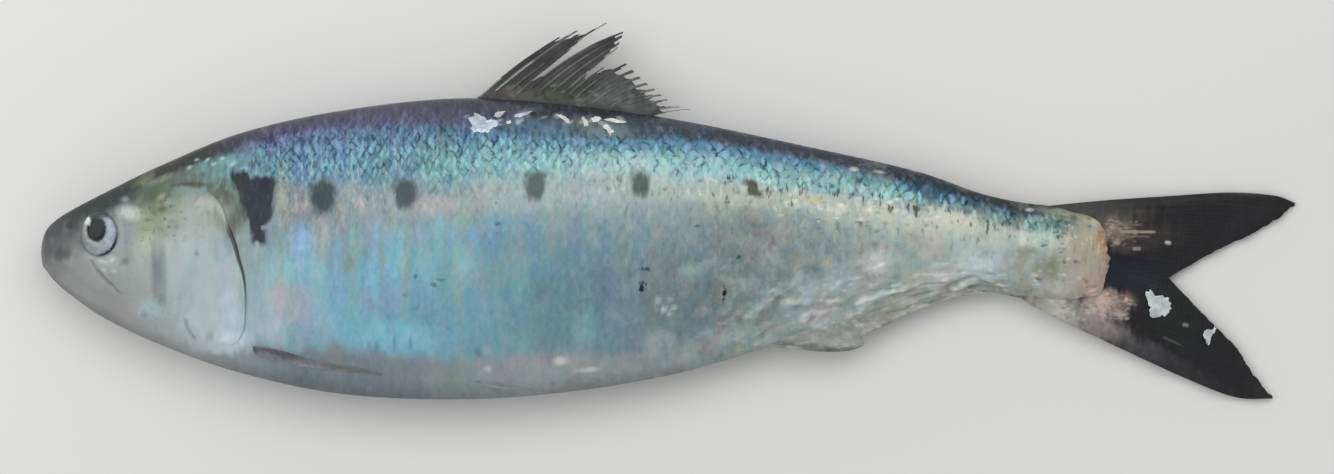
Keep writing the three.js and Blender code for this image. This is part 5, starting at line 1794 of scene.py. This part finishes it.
looseScales = {
    "lift": 0.12 * mm,
    "thickness": 0.1 * mm,
    "wave": 0.08 * mm,
    "curl": 0.1 * mm,
    "tailLevel": 0.28 * mm,  # the tail fin's upper side, above its middle plane
    # near white: the scales' silver, and painted reflection
    "tints": {"blue": "#c6d4e4", "white": "#dfe3e1", "pearl": "#cdd3d5"},
    "onBack": [
        ("blue", [(34.0, 10.4), (34.6, 10.6), (35.2, 10.45), (35.5, 10.2), (36.0, 10.35), (36.3, 10.1),
                  (36.2, 9.7), (35.9, 9.4), (35.4, 9.25), (34.9, 9.45), (34.4, 9.4), (34.3, 9.9)]),
        ("pearl", [(36.1, 10.7), (36.4, 10.9), (36.9, 10.95), (36.6, 10.65), (36.3, 10.45)]),
        ("blue", [(37.7, 10.65), (38.3, 10.85), (39.0, 11.05), (38.6, 10.7), (38.1, 10.5)]),
        ("white", [(37.0, 10.15), (37.3, 10.3), (37.4, 10.1), (37.15, 10.0)]),
        ("white", [(40.9, 10.8), (41.4, 10.75), (41.9, 10.4), (42.0, 10.05), (41.7, 10.1), (41.4, 10.4),
                   (41.1, 10.6)]),
        ("pearl", [(42.9, 10.5), (43.2, 10.5), (43.4, 10.2), (43.4, 9.85), (43.1, 9.9), (43.05, 10.2)]),
        ("white", [(43.7, 10.45), (44.1, 10.5), (44.5, 10.35), (44.2, 10.15), (43.8, 10.2)]),
        ("white", [(44.7, 10.3), (45.3, 10.35), (45.9, 10.25), (46.6, 10.12), (45.8, 10.1), (45.2, 10.15)]),
        ("white", [(44.6, 9.75), (45.1, 9.8), (45.4, 9.5), (45.3, 9.1), (45.05, 9.2), (44.95, 9.5)]),
    ],
    "onTail": [
        ("pearl", [(87.8, -3.3), (88.2, -3.2), (88.7, -3.6), (89.3, -3.75), (89.75, -4.2), (89.8, -4.8),
                   (89.5, -5.15), (89.1, -5.5), (88.5, -5.4), (88.1, -5.0), (88.0, -4.3)]),
        ("pearl", [(92.4, -6.7), (92.7, -6.3), (93.1, -6.3), (93.4, -6.0), (93.45, -6.4), (93.1, -6.8),
                   (93.0, -7.3), (92.7, -7.4), (92.6, -7.0)]),
    ],
}


def scaleMaterial():
    # A shed fish scale: clear horny plate over silver guanine, wet; near white from silver and painted
    # reflection
    material, tree = newMaterial("loose silver fish scale")
    place = addNode(tree, "TexCoord", out=3)
    cloud = addNode(tree, "TexNoise", {"Vector": place, "Scale": 1 / (1.4 * mm), "Detail": 4.0,
                                       "Roughness": 0.6})
    tint = addNode(tree, "Attribute", attribute_name="tint")
    tone = addNode(tree, "ValToRGB", {0: cloud}, stops=[(0.38, 0.74), (0.5, 0.98), (0.6, 1.15)])
    colour = addNode(tree, "HueSaturation", {"Value": tone, "Color": tint})
    # growth rings of the scale, 0.15 mm apart
    ring = addNode(tree, "TexNoise", {"Vector": place, "Scale": 1 / (0.3 * mm), "Detail": 2.0})
    bump = addNode(tree, "Bump", {"Height": ring, "Strength": 0.4, "Distance": 0.03 * mm})
    plate = addNode(tree, "BsdfPrincipled", {
        "Base Color": colour, "Roughness": 0.22, "Metallic": 0.25, "Normal": bump,
        "Coat Weight": 0.5, "Coat Roughness": 0.08,
    })
    addNode(tree, "OutputMaterial", {"Surface": plate})
    return material


def addFlake(tint, outline, number, onTail):
    tint = linear(looseScales["tints"][tint])
    curve = np.array(roundedOutline(outline) + [roundedOutline(outline)[0]])
    centre = curve[:-1].mean(axis=0)

    def place(u, v):
        ragged = 0.4 * mottle(u * 11, u * 0, number + 50) + 0.5 * mottle(u * 33, u * 0, number + 60) - 0.45
        ragged = 1 + 0.85 * ragged * easeStep(0, 0.1, u) * easeStep(1, 0.9, u) * easeStep(0, 0.8, v)
        steps = np.arange(len(curve))
        rim = np.stack([np.interp(u * steps[-1], steps, curve[:, i]) for i in (0, 1)], axis=1)
        at, height = (centre + (rim - centre) * (v * ragged)[:, None]).T
        wave = looseScales["wave"] * (mottle(at * 2.2, height * 2.2, number + 70) - 0.3)
        curl = looseScales["curl"] * np.sin(u * 2 * math.pi + number) * v**2
        lift = looseScales["lift"] + wave + curl
        if onTail:
            point = inFrame(at, height, (looseScales["tailLevel"] + lift) / pct)
        else:
            point = ontoFlank(at, height, lift, 1)
        return point, {"tint": np.tile(tint, (len(at), 1))}

    piece = addGrid(f"scale_{number}", 96, 10, place)
    closeSheet(piece, False, looseScales["thickness"])
    return piece


def makeLooseScales():
    flakes = [addFlake(*row, i, False) for i, row in enumerate(looseScales["onBack"])]
    flakes += [addFlake(*row, i + 20, True) for i, row in enumerate(looseScales["onTail"])]
    bpy.ops.object.select_all(action="DESELECT")
    for flake in flakes:
        flake.select_set(True)
    bpy.context.view_layer.objects.active = flakes[0]
    bpy.ops.object.join()
    flakes[0].name = flakes[0].data.name = "loose_scales"
    finishPiece(flakes[0], scaleMaterial(), "fish")


makeLooseScales()
print("loose scales on")
